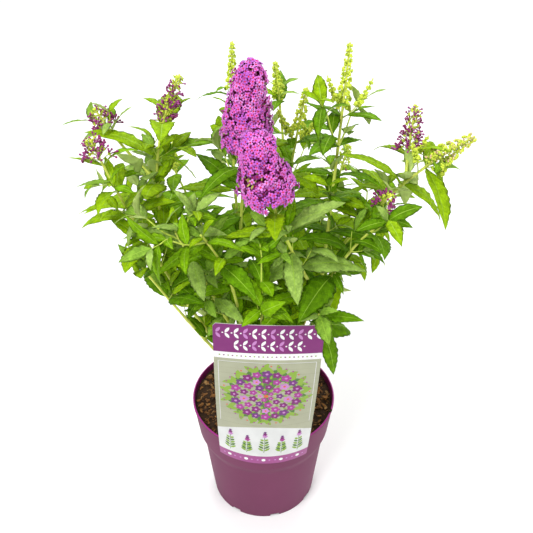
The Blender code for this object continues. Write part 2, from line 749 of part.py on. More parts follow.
def build_crown():
    """The stump: a flat cut at the compost, a flare, and a rounded top."""
    points = []
    faces = []
    for level, radius in zip(CROWN_LEVELS, CROWN_RADII):
        middle = crown_point(level)
        for corner in range(CROWN_SIDES):
            angle = 2 * math.pi * corner / CROWN_SIDES
            points.append(middle + radius * Vector((math.cos(angle), math.sin(angle), 0.0)))
    for ring in range(len(CROWN_LEVELS) - 1):
        for corner in range(CROWN_SIDES):
            right = (corner + 1) % CROWN_SIDES
            near = ring * CROWN_SIDES
            far = near + CROWN_SIDES
            faces.append((near + corner, near + right, far + right, far + corner))
    faces.append(tuple(reversed(range(CROWN_SIDES))))
    top = (len(CROWN_LEVELS) - 1) * CROWN_SIDES
    faces.append(tuple(range(top, top + CROWN_SIDES)))
    return add_object("root_crown", (points, faces), "woody_stem")


def stem_route(row):
    """A stem's points, from just clear of the crown to its tip."""
    bend = Vector(row["bend"])
    tip = Vector(row["tip"])
    radius = row["radii"][0]
    middle = crown_point(row["height"])
    aim = (bend - middle).normalized()
    if row["height"] >= 1.0:
        out = Vector((0.0, 0.0, 1.0))
        reach = 0.0
    else:
        angle = math.radians(row["side"])
        out = Vector((math.cos(angle), math.sin(angle), 0.0))
        reach = crown_radius(row["height"])
    tilt = math.sqrt(max(0.0, 1 - aim.dot(out) ** 2))
    start = middle + out * (reach + CLEAR + radius * tilt)
    return bow(start, bend, tip, STEM_STEPS)


# Pot, compost and label

def spun(profile, segments):
    """A closed body turned round the Z axis, from a profile of (radius, height) that ends on it."""
    body = bmesh.new()
    spots = [body.verts.new((radius, 0.0, height)) for radius, height in profile]
    edges = [body.edges.new(pair) for pair in zip(spots, spots[1:])]
    bmesh.ops.spin(body, geom=spots + edges, axis=(0, 0, 1), cent=(0, 0, 0),
                   angle=2 * math.pi, steps=segments, use_merge=True)
    bmesh.ops.remove_doubles(body, verts=body.verts, dist=1e-6)
    bmesh.ops.recalc_face_normals(body, faces=body.faces)
    mesh = bpy.data.meshes.new("spun")
    body.to_mesh(mesh)
    body.free()
    return mesh


def pot_profile():
    """The pot's outer side from its underside up, over the lip, and its inner side down to the floor."""
    lip = POT_HEIGHT - LIP_HEIGHT
    outside = [(0.0, 0.0), (BASE_RADIUS - 0.001, 0.0), (BASE_RADIUS, 0.001)]
    outside.append((SHOULDER_RADIUS, SHOULDER_FOOT))
    for step in range(1, SHOULDER_STEPS + 1):
        part = step / SHOULDER_STEPS
        swell = part * part * (3 - 2 * part)
        outside.append((SHOULDER_RADIUS + (COLLAR_FOOT_RADIUS - SHOULDER_RADIUS) * swell,
                        SHOULDER_FOOT + (COLLAR_FOOT - SHOULDER_FOOT) * part))
    outside += [(COLLAR_TOP_RADIUS, lip), (RIM_RADIUS, lip + 0.0006), (RIM_RADIUS, POT_HEIGHT - 0.0010),
                (RIM_RADIUS - 0.0010, POT_HEIGHT)]
    inside = [(COLLAR_TOP_RADIUS - 0.0008, POT_HEIGHT), (COLLAR_TOP_RADIUS - POT_WALL, POT_HEIGHT - 0.0012)]
    inside += [(COLLAR_FOOT_RADIUS - POT_WALL, COLLAR_FOOT), (SHOULDER_RADIUS - POT_WALL, SHOULDER_FOOT),
               (BASE_RADIUS - POT_WALL, POT_FLOOR), (0.0, POT_FLOOR)]
    return outside + inside


def inner_radius(height):
    """The inside of the pot at a height between its shoulder and its lip."""
    side = ((SHOULDER_FOOT, SHOULDER_RADIUS), (COLLAR_FOOT, COLLAR_FOOT_RADIUS),
            (POT_HEIGHT - LIP_HEIGHT, COLLAR_TOP_RADIUS))
    for (low, low_radius), (high, high_radius) in zip(side, side[1:]):
        if height <= high:
            share = (height - low) / (high - low)
            return low_radius + (high_radius - low_radius) * share - POT_WALL
    return COLLAR_TOP_RADIUS - POT_WALL


def build_pot():
    """The pot, with notches for drainage cut in the edge of its foot."""
    pot = bpy.data.objects.new("pot", spun(pot_profile(), POT_SEGMENTS))
    pot.data.materials.append(material("pot_plastic"))
    bpy.context.scene.collection.objects.link(pot)
    body = bmesh.new()
    reach = BASE_RADIUS + 0.01 - NOTCH_INNER_RADIUS
    for number in range(NOTCH_COUNT):
        turn = Matrix.Rotation(2 * math.pi * (number + 0.28) / NOTCH_COUNT, 4, "Z")
        place = Matrix.Translation((NOTCH_INNER_RADIUS + reach / 2, 0, 0))
        size = Matrix.Diagonal((reach, NOTCH_WIDTH, 2 * NOTCH_HEIGHT, 1))
        bmesh.ops.create_cube(body, size=1.0, matrix=turn @ place @ size)
    mesh = bpy.data.meshes.new("notches")
    body.to_mesh(mesh)
    body.free()
    cutter = bpy.data.objects.new("notches", mesh)
    bpy.context.scene.collection.objects.link(cutter)
    cutter.hide_render = True
    cutter.display_type = "WIRE"
    cut = pot.modifiers.new("notches", "BOOLEAN")
    cut.operation = "DIFFERENCE"
    cut.object = cutter
    return pot


def build_compost(slot):
    """Bark compost that fills the pot, uneven on top, with the slot that the label's tongue goes into."""
    chance = random.Random("compost")
    points = []
    faces = []
    inset = SOIL_GAP
    top = inner_radius(SOIL_LEVEL) - inset
    rings = [(BASE_RADIUS - POT_WALL - inset, POT_FLOOR + CLEAR, 0.0),
             (inner_radius(SHOULDER_FOOT) - inset, SHOULDER_FOOT, 0.0),
             (inner_radius(COLLAR_FOOT) - inset, COLLAR_FOOT + 0.001, 0.0),
             (top, SOIL_LEVEL, 0.0)]
    rings += [(top * share, SOIL_LEVEL, SOIL_BUMP) for share in SOIL_RINGS]
    rings.append((SOIL_FLAT_RADIUS, SOIL_LEVEL, 0.0))
    for radius, height, bump in rings:
        for corner in range(SOIL_SEGMENTS):
            angle = 2 * math.pi * corner / SOIL_SEGMENTS
            rise = bump * chance.uniform(-1, 1)
            points.append(Vector((radius * math.cos(angle), radius * math.sin(angle), height + rise)))
    for ring in range(len(rings) - 1):
        for corner in range(SOIL_SEGMENTS):
            right = (corner + 1) % SOIL_SEGMENTS
            near = ring * SOIL_SEGMENTS
            far = near + SOIL_SEGMENTS
            faces.append((near + corner, near + right, far + right))
            faces.append((near + corner, far + right, far + corner))
    faces.append(tuple(reversed(range(SOIL_SEGMENTS))))
    last = (len(rings) - 1) * SOIL_SEGMENTS
    faces.append(tuple(range(last, last + SOIL_SEGMENTS)))
    compost = add_object("compost", (points, faces), "bark_compost")
    cut = compost.modifiers.new("slot", "BOOLEAN")
    cut.operation = "DIFFERENCE"
    cut.object = slot
    return compost


def label_point(across, level, depth):
    """A point of the label: distance from its middle line, share of its height, depth behind its face."""
    bend = 1 / ((1 - level) ** 1.5 / LABEL_FOOT_BEND + level / LABEL_TOP_BEND)
    angle = across / bend
    front = LABEL_FOOT_Y + (LABEL_TOP_Y - LABEL_FOOT_Y) * level
    height = (LABEL_TOP - LABEL_FOOT) * level
    x = (bend - depth) * math.sin(angle)
    y = front + bend - (bend - depth) * math.cos(angle)
    roll = Matrix.Rotation(LABEL_ROLL, 3, "Y")
    turned = roll @ Vector((x, 0.0, height))
    return Vector((turned.x, y, LABEL_FOOT + turned.z))


def label_shell():
    """The card, bent round the collar at its foot and nearly flat at its top, with two rounded corners."""
    points = []
    faces = []
    for depth in (0.0, LABEL_THICK):
        for row in range(LABEL_ROWS + 1):
            level = row / LABEL_ROWS
            for column in range(LABEL_COLUMNS + 1):
                across = LABEL_WIDTH * (column / LABEL_COLUMNS - 0.5)
                spot_level = level
                if row == LABEL_ROWS and column in (0, LABEL_COLUMNS):
                    spot_level = level - LABEL_CORNER / (LABEL_TOP - LABEL_FOOT)
                points.append(label_point(across, spot_level, depth))
    wide = LABEL_COLUMNS + 1
    back = wide * (LABEL_ROWS + 1)
    for row in range(LABEL_ROWS):
        for column in range(LABEL_COLUMNS):
            near = row * wide + column
            far = near + wide
            faces.append((near, near + 1, far + 1, far))
            faces.append((back + near, back + far, back + far + 1, back + near + 1))
    rim = [column for column in range(wide)]
    rim += [row * wide + LABEL_COLUMNS for row in range(1, LABEL_ROWS + 1)]
    rim += [LABEL_ROWS * wide + column for column in range(LABEL_COLUMNS - 1, -1, -1)]
    rim += [row * wide for row in range(LABEL_ROWS - 1, 0, -1)]
    for spot, after in zip(rim, rim[1:] + rim[:1]):
        faces.append((spot, back + spot, back + after, after))
    return points, faces


def tongue_shell(room):
    """The tongue's strip, from the card over the rim and down inside it, with room round it where asked."""
    half = TONGUE_WIDTH / 2 + room
    thick = LABEL_THICK / 2 + room
    route = [Vector((0.0, y, z)) for y, z in TONGUE_ROUTE]
    route[-1].z -= room
    columns = [half * (2 * column / TONGUE_COLUMNS - 1) for column in range(TONGUE_COLUMNS + 1)]
    around = [(x, 1) for x in columns] + [(x, -1) for x in reversed(columns)]
    points = []
    for index, spot in enumerate(route):
        ahead = (route[min(index + 1, len(route) - 1)] - route[max(index - 1, 0)]).normalized()
        out = Vector((0.0, -ahead.z, ahead.y)) * thick
        for x, side in around:
            points.append(spot + Vector((x, x * x / (2 * TONGUE_BEND), 0.0)) + out * side)
    ring = len(around)
    faces = []
    for column in range(TONGUE_COLUMNS):
        faces.append((column, column + 1, ring - 2 - column, ring - 1 - column))
    for index in range(len(route) - 1):
        near = ring * index
        for corner in range(ring):
            right = (corner + 1) % ring
            faces.append((near + corner, near + right, near + ring + right, near + ring + corner))
    last = ring * (len(route) - 1)
    for column in range(TONGUE_COLUMNS):
        faces.append((last + column, last + column + 1, last + ring - 2 - column, last + ring - 1 - column))
    return points, faces


def build_label():
    """The card with its tongue."""
    label = add_object("label", label_shell(), "label_card")
    fuse(label, [add_object("tongue", tongue_shell(0.0), "label_card")])
    return label


def shell_of(obj):
    """An object's points and faces as they are in the world."""
    return [obj.matrix_world @ spot.co for spot in obj.data.vertices], [
        tuple(face.vertices) for face in obj.data.polygons]


def build_plant(pot, label):
    """Crown, stems and masses of foliage, each clear of the others."""
    taken = []
    for obj in (pot, label):
        keep(taken, obj.name, shell_of(obj))
    crown = build_crown()
    keep(taken, crown.name, shell_of(crown))
    routes = {}
    for name, row in STEMS.items():
        routes[name] = stem_route(row)
        stem = tube(routes[name], row["radii"], STEM_SIDES)
        add_object(name, stem, "woody_stem")
        keep(taken, name, stem)
    shoots = []
    for name, row in MASSES.items():
        carrier = STEMS[row["stem"]]
        at = row["at"]
        limb = carrier["radii"][0] + (carrier["radii"][1] - carrier["radii"][0]) * at
        start = seat(routes[row["stem"]], at, limb, Vector(row["bend"]), SHOOT_RADII[0])
        main = plan_shoot(name, 0, row, start)
        group = [main]
        for number, fork in enumerate(row.get("forks", ())):
            root = place_on(main["route"], fork["at"])[0]
            group.append(plan_shoot(name, number + 1, fork, root))
        for shoot in group:
            shoot["index"] = len(taken)
            shoot["axis"], shoot["blossom"] = shoot_shells(shoot)
            keep(taken, name, shoot["axis"])
            for shell in shoot["blossom"]:
                keep(taken, name, shell)
        shoots.append(group)
    for group in shoots:
        shells = []
        leaves = []
        for shoot in group:
            shells += [shoot["axis"]] + shoot["blossom"]
        for shoot in group:
            more, small = grow_leaves(taken, shoot)
            shells += more
            leaves += small
        mass_objects(group[0]["name"], shells, leaves)
        print(group[0]["name"], len(leaves), "leaves")


def main():
    for obj in list(bpy.data.objects):
        bpy.data.objects.remove(obj, do_unlink=True)
    pot = build_pot()
    label = build_label()
    slot = add_object("slot", tongue_shell(CLEAR), "bark_compost")
    slot.hide_render = True
    slot.display_type = "WIRE"
    build_compost(slot)
    build_plant(pot, label)


main()
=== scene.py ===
import random
from math import cos, exp, hypot, pi, radians, sin, sqrt

import bmesh
import bpy
from mathutils import Matrix, Vector, noise
from mathutils.bvhtree import BVHTree


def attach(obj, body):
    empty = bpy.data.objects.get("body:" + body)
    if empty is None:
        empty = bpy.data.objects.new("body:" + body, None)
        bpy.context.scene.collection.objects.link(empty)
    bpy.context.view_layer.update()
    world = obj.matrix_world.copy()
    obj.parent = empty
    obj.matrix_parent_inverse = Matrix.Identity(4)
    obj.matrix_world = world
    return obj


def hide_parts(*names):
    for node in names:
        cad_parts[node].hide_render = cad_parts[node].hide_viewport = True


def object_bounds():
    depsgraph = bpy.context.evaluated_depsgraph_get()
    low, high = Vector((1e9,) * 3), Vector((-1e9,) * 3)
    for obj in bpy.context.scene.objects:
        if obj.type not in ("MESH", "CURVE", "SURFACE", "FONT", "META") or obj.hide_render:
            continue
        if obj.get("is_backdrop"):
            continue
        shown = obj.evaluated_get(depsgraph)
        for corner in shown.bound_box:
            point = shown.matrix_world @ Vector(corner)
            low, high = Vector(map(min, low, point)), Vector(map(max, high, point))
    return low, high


# A young butterfly bush in a purple nursery pot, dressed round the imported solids.
# Metres, +Z up; the label faces -Y.

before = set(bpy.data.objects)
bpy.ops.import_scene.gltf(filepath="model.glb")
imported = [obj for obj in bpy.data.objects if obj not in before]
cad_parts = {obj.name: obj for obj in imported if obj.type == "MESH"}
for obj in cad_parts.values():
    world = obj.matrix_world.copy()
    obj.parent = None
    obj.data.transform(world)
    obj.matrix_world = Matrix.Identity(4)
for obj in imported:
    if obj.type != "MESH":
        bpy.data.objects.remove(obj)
cadLow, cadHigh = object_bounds()


# studio: camera, floor and soft light

studio = dict(
    cameraPlace=(0.004, -0.713, 0.891),
    cameraPitch=35.6,  # degrees below level
    lens=50.0,
    floorSize=8.0,
    floorColour=(0.90, 0.90, 0.90),
    floorRough=0.9,
    skyColour=(1.0, 1.0, 1.0),
    skyStrength=0.50,
    aim=(0.0, 0.0, 0.30),
    lights=(
        dict(name="keyLight", place=(-0.9, -1.3, 2.2), size=1.1, power=48.0),
        dict(name="fillLight", place=(1.4, -0.9, 1.5), size=1.4, power=16.0),
        dict(name="backLight", place=(0.2, 1.7, 1.9), size=1.4, power=20.0),
        dict(name="floorLight", place=(0.0, 2.6, 2.4), aim=(0.0, 2.3, 0.0), size=3.0, power=44.0),
    ),
)


def addToScene(name, data):
    made = bpy.data.objects.new(name, data)
    bpy.context.scene.collection.objects.link(made)
    return made


def makeStudio():
    cameraData = bpy.data.cameras.new("photoCamera")
    cameraData.lens = studio["lens"]
    camera = addToScene("photoCamera", cameraData)
    camera.location = studio["cameraPlace"]
    camera.rotation_euler = (radians(90 - studio["cameraPitch"]), 0.0, 0.0)
    bpy.context.scene.camera = camera
    world = bpy.data.worlds.new("softSky")
    world.use_nodes = True
    sky = world.node_tree.nodes["Background"]
    sky.inputs["Color"].default_value = (*studio["skyColour"], 1.0)
    sky.inputs["Strength"].default_value = studio["skyStrength"]
    bpy.context.scene.world = world
    bpy.context.scene.view_settings.view_transform = "Standard"  # clean, full colours on white
    for row in studio["lights"]:
        lamp = bpy.data.lights.new(row["name"], "AREA")
        lamp.size = row["size"]
        lamp.energy = row["power"]
        light = addToScene(row["name"], lamp)
        light.location = row["place"]
        away = Vector(row.get("aim", studio["aim"])) - Vector(row["place"])
        light.rotation_euler = away.to_track_quat("-Z", "Y").to_euler()
    half = studio["floorSize"] / 2
    corners = [(-half, -half, 0), (half, -half, 0), (half, half, 0), (-half, half, 0)]
    mesh = bpy.data.meshes.new("paleFloor")
    mesh.from_pydata(corners, [], [(0, 1, 2, 3)])
    mesh.materials.append(plainMaterial("floorPaint", studio["floorColour"], studio["floorRough"]))
    addToScene("paleFloor", mesh)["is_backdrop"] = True


# materials: a colour that wanders a little, and a fine grain in the surface

shadeLook = dict(
    patchDetail=4.0,
    grainDetail=3.0,
    stops=(0.32, 0.68),  # where the darker and the lighter shade begin
    quiltShift=0.07,
    quiltRelief=2.5,
    # how much the vein net darkens the colour in the sunken veins and lightens it on the swellings: painted
    # shade
    quiltPaintedShade=0.40,
)


def plainMaterial(name, colour, roughness):
    made = bpy.data.materials.new(name)
    made.use_nodes = True
    shader = made.node_tree.nodes["Principled BSDF"]
    shader.inputs["Base Color"].default_value = (*colour, 1.0)
    shader.inputs["Roughness"].default_value = roughness
    return made


def addNode(nodes, kind, **values):
    made = nodes.new("ShaderNode" + kind)
    for name, value in values.items():
        made.inputs[name].default_value = value
    return made


def grainMaterial(name, colour, spread=0.16, patch=60.0, roughness=0.55, grain=700.0, relief=0.25,
                  depth=0.0002, specular=0.4, stretch=(1.0, 1.0, 1.0), warm=0.0, sheen=0.0, quilt=0.0):
    look = shadeLook
    made = plainMaterial(name, colour, roughness)
    nodes = made.node_tree.nodes
    join = made.node_tree.links.new
    shader = nodes["Principled BSDF"]
    shader.inputs["Specular IOR Level"].default_value = specular
    shader.inputs["Sheen Weight"].default_value = sheen
    squeeze = addNode(nodes, "Mapping", Scale=stretch)
    patches = addNode(nodes, "TexNoise", Scale=patch, Detail=look["patchDetail"])
    fine = addNode(nodes, "TexNoise", Scale=grain, Detail=look["grainDetail"])
    bump = addNode(nodes, "Bump", Strength=relief, Distance=depth)
    ramp = addNode(nodes, "ValToRGB")
    dark = [part * (1 - spread) for part in colour]
    light = [part * (1 + spread) for part in colour]
    light[0] *= 1 + warm
    for stop, place, shade in zip(ramp.color_ramp.elements, look["stops"], (dark, light)):
        stop.position = place + (look["quiltShift"] if quilt else 0.0)
        stop.color = (*shade, 1.0)
    join(addNode(nodes, "TexCoord").outputs["Object"], squeeze.inputs["Vector"])
    join(squeeze.outputs["Vector"], patches.inputs["Vector"])
    join(squeeze.outputs["Vector"], fine.inputs["Vector"])
    height = fine.outputs["Fac"]
    tone = patches.outputs["Fac"]
    if quilt:  # small swellings between a net of veins
        cells = addNode(nodes, "TexVoronoi", Scale=quilt)
        cells.feature = "DISTANCE_TO_EDGE"
        join(squeeze.outputs["Vector"], cells.inputs["Vector"])
        # the colour follows the same net, darker in the sunken veins and lighter on the swellings: painted
        # shade
        sums = []
        for weight, base in ((look["quiltRelief"], height), (look["quiltPaintedShade"], tone)):
            swell = addNode(nodes, "Math")
            swell.operation = "MULTIPLY_ADD"
            swell.inputs[1].default_value = weight
            join(cells.outputs["Distance"], swell.inputs[0])
            join(base, swell.inputs[2])
            sums.append(swell.outputs["Value"])
        height, tone = sums
    join(tone, ramp.inputs["Fac"])
    join(ramp.outputs["Color"], shader.inputs["Base Color"])
    join(height, bump.inputs["Height"])
    join(bump.outputs["Normal"], shader.inputs["Normal"])
    return made


def grainMaterials(colours, **look):
    return [grainMaterial(name, colour, **look) for name, colour in colours.items()]


# joined pieces: points, faces and a tint for each face

class Heap:
    def __init__(self):
        self.points = []
        self.faces = []
        self.tints = []

    def add(self, points, faces, tint=0):
        first = len(self.points)
        self.points.extend(points)
        self.faces.extend([[first + corner for corner in face] for face in faces])
        self.tints.extend([tint] * len(faces) if isinstance(tint, int) else tint)

    def piece(self, name, materials, slot, nodes=(), smooth=True):
        mesh = bpy.data.meshes.new(name)
        mesh.from_pydata([tuple(point) for point in self.points], [], self.faces)
        for made in materials:
            mesh.materials.append(made)
        mesh.polygons.foreach_set("material_index", self.tints)
        mesh.polygons.foreach_set("use_smooth", [smooth] * len(self.faces))
        body = bmesh.new()
        body.from_mesh(mesh)
        bmesh.ops.recalc_face_normals(body, faces=body.faces)
        body.to_mesh(mesh)
        body.free()
        made = addToScene(name, mesh)
        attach(made, "root")
        if nodes:
            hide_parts(*nodes)
        print(name, sum(len(face) - 2 for face in self.faces), "triangles")


# routes, rings and tubes

toRight = Vector((1.0, 0.0, 0.0))
slant = Vector((1.0, 0.2, 0.0))
askew = Vector((0.31, 0.17, 0.93))


def blend(low, high, share):
    return low + (high - low) * share


def readOff(rows, place):
    # rows of (place, value) in rising order, with straight lines between them
    for (low, before), (high, after) in zip(rows, rows[1:]):
        if place <= high:
            return blend(before, after, (place - low) / (high - low))
    return rows[-1][1]


def bow(start, bend, tip, count):
    start, bend, tip = Vector(start), Vector(bend), Vector(tip)
    pull = 2 * bend - (start + tip) / 2  # so that the bow runs through the bend at its middle
    shares = [step / count for step in range(count + 1)]
    return [(1 - t) ** 2 * start + 2 * t * (1 - t) * pull + t * t * tip for t in shares]


def placeOn(points, share):
    place = min(max(share, 0.0), 1.0) * (len(points) - 1)
    low = min(int(place), len(points) - 2)
    step = points[low + 1] - points[low]
    return points[low] + step * (place - low), step.normalized()


def routeLength(route):
    return sum((after - before).length for before, after in zip(route, route[1:]))


def sideOf(direction, wish=toRight):
    across = wish - direction * wish.dot(direction)
    if across.length < 1e-6:
        across = direction.orthogonal()
    return across.normalized()


def swung(direction, angle, axis):
    return Matrix.Rotation(angle, 3, axis) @ direction


def sideAt(axis, angle, wish=toRight):
    return swung(sideOf(axis, wish), angle, axis)


def spoke(angle, across, other):
    return cos(angle) * across + sin(angle) * other


def circle(count, phase=0.0):
    return [2 * pi * (number + phase) / count for number in range(count)]


def walls(rings, sides, first=0, capped=True):
    # faces between rings of points that follow one another, and a cap at either end
    last = first + (rings - 1) * sides
    faces = []
    for near in range(first, last, sides):
        for corner in range(sides):
            right = (corner + 1) % sides
            faces.append((near + corner, near + right, near + sides + right, near + sides + corner))
    if capped:
        faces.append(tuple(reversed(range(first, first + sides))))
        faces.append(tuple(range(last, last + sides)))
    return faces


def tube(points, radii, sides, turn=0.0, relief=None):
    last = len(points) - 1
    spots = []
    for index, point in enumerate(points):
        ahead = (points[min(index + 1, last)] - points[max(index - 1, 0)]).normalized()
        across = sideAt(ahead, turn)
        other = ahead.cross(across)
        radius = radii(index / last) if callable(radii) else blend(*radii, index / last)
        for angle in circle(sides):
            out = spoke(angle, across, other)
            swell = relief(point, out) if relief else 0.0
            spots.append(point + (radius + swell) * out)
    return spots, walls(last + 1, sides)


# stems: side of the crown they leave (degrees from +X), height on it as a share, bend, tip, radii

def stemRow(side, height, bend, tip, radii):
    return dict(side=side, height=height, bend=bend, tip=tip, radii=radii)


stemRows = {
    "stem_right": stemRow(-38, 0.42, (0.034, -0.044, 0.288), (0.063, -0.071, 0.413), (0.0036, 0.0024)),
    "stem_far_right": stemRow(2, 0.42, (0.028, -0.003, 0.240), (0.050, -0.008, 0.325), (0.0032, 0.0021)),
    "stem_centre": stemRow(225, 1.0, (-0.018, -0.013, 0.250), (-0.030, -0.022, 0.325), (0.0034, 0.0022)),
    "stem_inner": stemRow(45, 0.72, (0.016, 0.014, 0.245), (0.020, 0.018, 0.320), (0.0030, 0.0020)),
    "stem_left": stemRow(172, 0.42, (-0.036, -0.006, 0.240), (-0.066, -0.016, 0.325), (0.0034, 0.0022)),
    "stem_far_left": stemRow(212, 0.42, (-0.034, -0.027, 0.234), (-0.062, -0.048, 0.315), (0.0032, 0.0021)),
    "stem_front_left": stemRow(250, 0.42, (-0.018, -0.034, 0.238), (-0.032, -0.058, 0.325), (0.0032, 0.0021)),
    "stem_front": stemRow(287, 0.42, (0.006, -0.037, 0.232), (0.000, -0.064, 0.315), (0.0030, 0.0020)),
    "stem_back_left": stemRow(122, 0.42, (-0.018, 0.034, 0.240), (-0.026, 0.062, 0.325), (0.0034, 0.0022)),
    "stem_back_right": stemRow(66, 0.42, (0.024, 0.036, 0.238), (0.044, 0.066, 0.320), (0.0034, 0.0022)),
}

# foliage: a leafy shoot for each mass of the solids, some with forks

def shootRow(at, bend, tip, pairs, leaf, end, length, turn, sides=0, **more):
    # place on its stem, bend, tip, leaf pairs and their lengths low and high, what ends it and its length,
    # turn of the first pair in degrees, and how many of the highest pairs have side shoots
    return dict(at=at, bend=bend, tip=tip, pairs=pairs, leaf=leaf, end=end, length=length, turn=turn,
                sides=sides, **more)


shootRows = {
    "foliage_front_bloom": shootRow(
        0.95, (0.018, -0.112, 0.508), (-0.008, -0.122, 0.613), 4, (0.069, 0.065), "panicle", 0.084, 4,
        sides=1, spread=50, first=0.20, stem="stem_right"),
    "foliage_tall": shootRow(
        1.0, (0.075, -0.034, 0.528), (0.085, -0.004, 0.649), 6, (0.085, 0.042), "buds", 0.064, 54,
        sides=2, spread=62, first=0.10, stem="stem_right"),
    "foliage_right_low": shootRow(
        0.88, (0.088, -0.074, 0.447), (0.114, -0.079, 0.484), 3, (0.092, 0.080), "leaves", 0.012, 67,
        sides=1, spread=54, first=0.25, stem="stem_right"),
    "foliage_front_right": shootRow(
        0.68, (0.064, -0.086, 0.364), (0.058, -0.118, 0.404), 3, (0.098, 0.050), "leaves", 0.010, 0,
        spread=70, hangs=True, stem="stem_right"),
    "foliage_far_right": shootRow(
        1.0, (0.114, -0.029, 0.468), (0.209, -0.043, 0.569), 8, (0.101, 0.082), "buds", 0.055, 9,
        spread=74, stem="stem_far_right", forks=(
            shootRow(0.70, (0.152, -0.016, 0.540), (0.157, 0.000, 0.583), 2, (0.062, 0.055),
                     "opening", 0.045, 45),
            shootRow(0.55, (0.120, -0.056, 0.496), (0.126, -0.076, 0.521), 1, (0.050, 0.045),
                     "opening", 0.022, 0))),
    "foliage_back_low_right": shootRow(
        0.80, (0.088, 0.026, 0.345), (0.132, 0.048, 0.430), 5, (0.092, 0.065), "leaves", 0.012, 36,
        sides=2, spread=70, stem="stem_far_right"),
    "foliage_top_bloom": shootRow(
        1.0, (-0.022, -0.031, 0.490), (-0.010, -0.031, 0.642), 7, (0.103, 0.075), "panicle", 0.100, 49,
        sides=2, spread=62, stem="stem_centre"),
    "foliage_inner": shootRow(
        1.0, (0.026, 0.022, 0.452), (0.046, 0.024, 0.592), 7, (0.082, 0.067), "buds", 0.055, 20,
        sides=1, spread=62, stem="stem_inner"),
    "foliage_left": shootRow(
        1.0, (-0.113, -0.019, 0.475), (-0.082, -0.006, 0.619), 8, (0.111, 0.078), "opening", 0.055, 0,
        spread=46, stem="stem_left", forks=(
            shootRow(0.60, (-0.147, -0.002, 0.537), (-0.174, 0.006, 0.577), 2, (0.055, 0.045),
                     "opening", 0.028, 75),)),
    "foliage_far_left": shootRow(
        1.0, (-0.119, -0.068, 0.455), (-0.164, -0.069, 0.579), 8, (0.086, 0.046), "opening", 0.028, 85,
        sides=1, spread=46, stem="stem_far_left"),
    "foliage_left_low": shootRow(
        0.76, (-0.086, -0.076, 0.364), (-0.124, -0.094, 0.446), 5, (0.090, 0.057), "leaves", 0.012, 49,
        spread=46, stem="stem_far_left"),
    "foliage_front_left": shootRow(
        1.0, (-0.058, -0.086, 0.415), (-0.087, -0.104, 0.500), 6, (0.085, 0.063), "leaves", 0.012, 76,
        sides=1, spread=62, stem="stem_front_left"),
    "foliage_front_high": shootRow(
        0.88, (-0.032, -0.094, 0.420), (-0.058, -0.130, 0.510), 5, (0.069, 0.067), "leaves", 0.012, 40,
        sides=1, spread=58, stem="stem_front_left"),
    "foliage_front_low": shootRow(
        1.0, (-0.001, -0.098, 0.385), (-0.001, -0.134, 0.442), 4, (0.088, 0.062), "leaves", 0.010, 0,
        sides=1, spread=70, stem="stem_front"),
    "foliage_back_tall": shootRow(
        1.0, (-0.036, 0.096, 0.465), (-0.035, 0.118, 0.609), 7, (0.077, 0.051), "buds", 0.055, 15,
        first=0.18, spread=58, stem="stem_back_left"),
    "foliage_back_left": shootRow(
        0.80, (-0.080, 0.096, 0.380), (-0.126, 0.118, 0.486), 7, (0.103, 0.066), "buds", 0.040, 81,
        sides=1, spread=74, stem="stem_back_left"),
    "foliage_back_low_left": shootRow(
        0.78, (-0.096, 0.030, 0.372), (-0.150, 0.048, 0.468), 5, (0.086, 0.071), "leaves", 0.012, 10,
        sides=1, first=0.18, spread=58, stem="stem_left"),
    "foliage_back_middle": shootRow(
        0.88, (0.028, 0.096, 0.445), (0.014, 0.112, 0.588), 7, (0.082, 0.056), "buds", 0.045, 85,
        spread=50, stem="stem_back_right"),
    "foliage_back_right": shootRow(
        1.0, (0.080, 0.096, 0.400), (0.104, 0.108, 0.486), 7, (0.090, 0.055), "opening", 0.032, 49,
        spread=70, stem="stem_back_right"),
    "foliage_back_low": shootRow(
        0.70, (0.036, 0.112, 0.335), (0.030, 0.166, 0.420), 5, (0.095, 0.068), "leaves", 0.012, 4,
        sides=1, stem="stem_back_right"),
}

clear = 0.0003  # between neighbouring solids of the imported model
leafRoom = 0.0008
stemSteps = 5
shootSteps = 6

crownForm = dict(
    foot=0.1615 + clear,
    height=0.025,
    radii=((0.0, 0.0150), (0.18, 0.0108), (0.45, 0.0098), (0.8, 0.0092), (1.0, 0.0062)),
    lean=0.003,
    sides=32,
    steps=22,
    rough=((0.0012, 4, 1.6, 0.3), (0.0005, 14, 3.0, 1.0)),  # relief, scales round and up, share at foot
)


def crownPoint(share):
    return Vector((-crownForm["lean"] * share, 0.0, crownForm["foot"] + crownForm["height"] * share))


def stemRoute(row):
    middle = crownPoint(row["height"])
    aim = (Vector(row["bend"]) - middle).normalized()
    if row["height"] >= 1.0:
        out = Vector((0.0, 0.0, 1.0))
        reach = 0.0
    else:
        angle = radians(row["side"])
        out = Vector((cos(angle), sin(angle), 0.0))
        reach = readOff(crownForm["radii"], row["height"])
    tilt = sqrt(max(0.0, 1 - aim.dot(out) ** 2))
    start = middle + out * (reach + clear + row["radii"][0] * tilt)
    return bow(start, row["bend"], row["tip"], stemSteps)


# what is in the crown already, so that no leaf crosses another piece

def treeOf(shell):
    return BVHTree.FromPolygons([tuple(point) for point in shell[0]], shell[1])


def ballOf(points):
    middle = sum(points, Vector()) / len(points)
    return middle, max((point - middle).length for point in points)


def keep(taken, owner, whole, blade=None):
    tree = treeOf(whole)
    taken.append((owner, *ballOf(whole[0]), tree, treeOf(blade) if blade else tree))


def isFree(taken, owner, parent, whole, blade):
    middle, reach = ballOf(whole[0])
    tree = None
    for index, (other, spot, ball, allOfIt, away) in enumerate(taken):
        if index == parent or (spot - middle).length > ball + reach:
            continue
        if tree is None:
            tree = treeOf(whole)
            outer = treeOf(blade)
        crossing = outer.overlap(away) if other == owner else tree.overlap(allOfIt)
        if crossing:
            return False
    return True


# leaves: the same arched blades as the solids, then a fine mesh on each

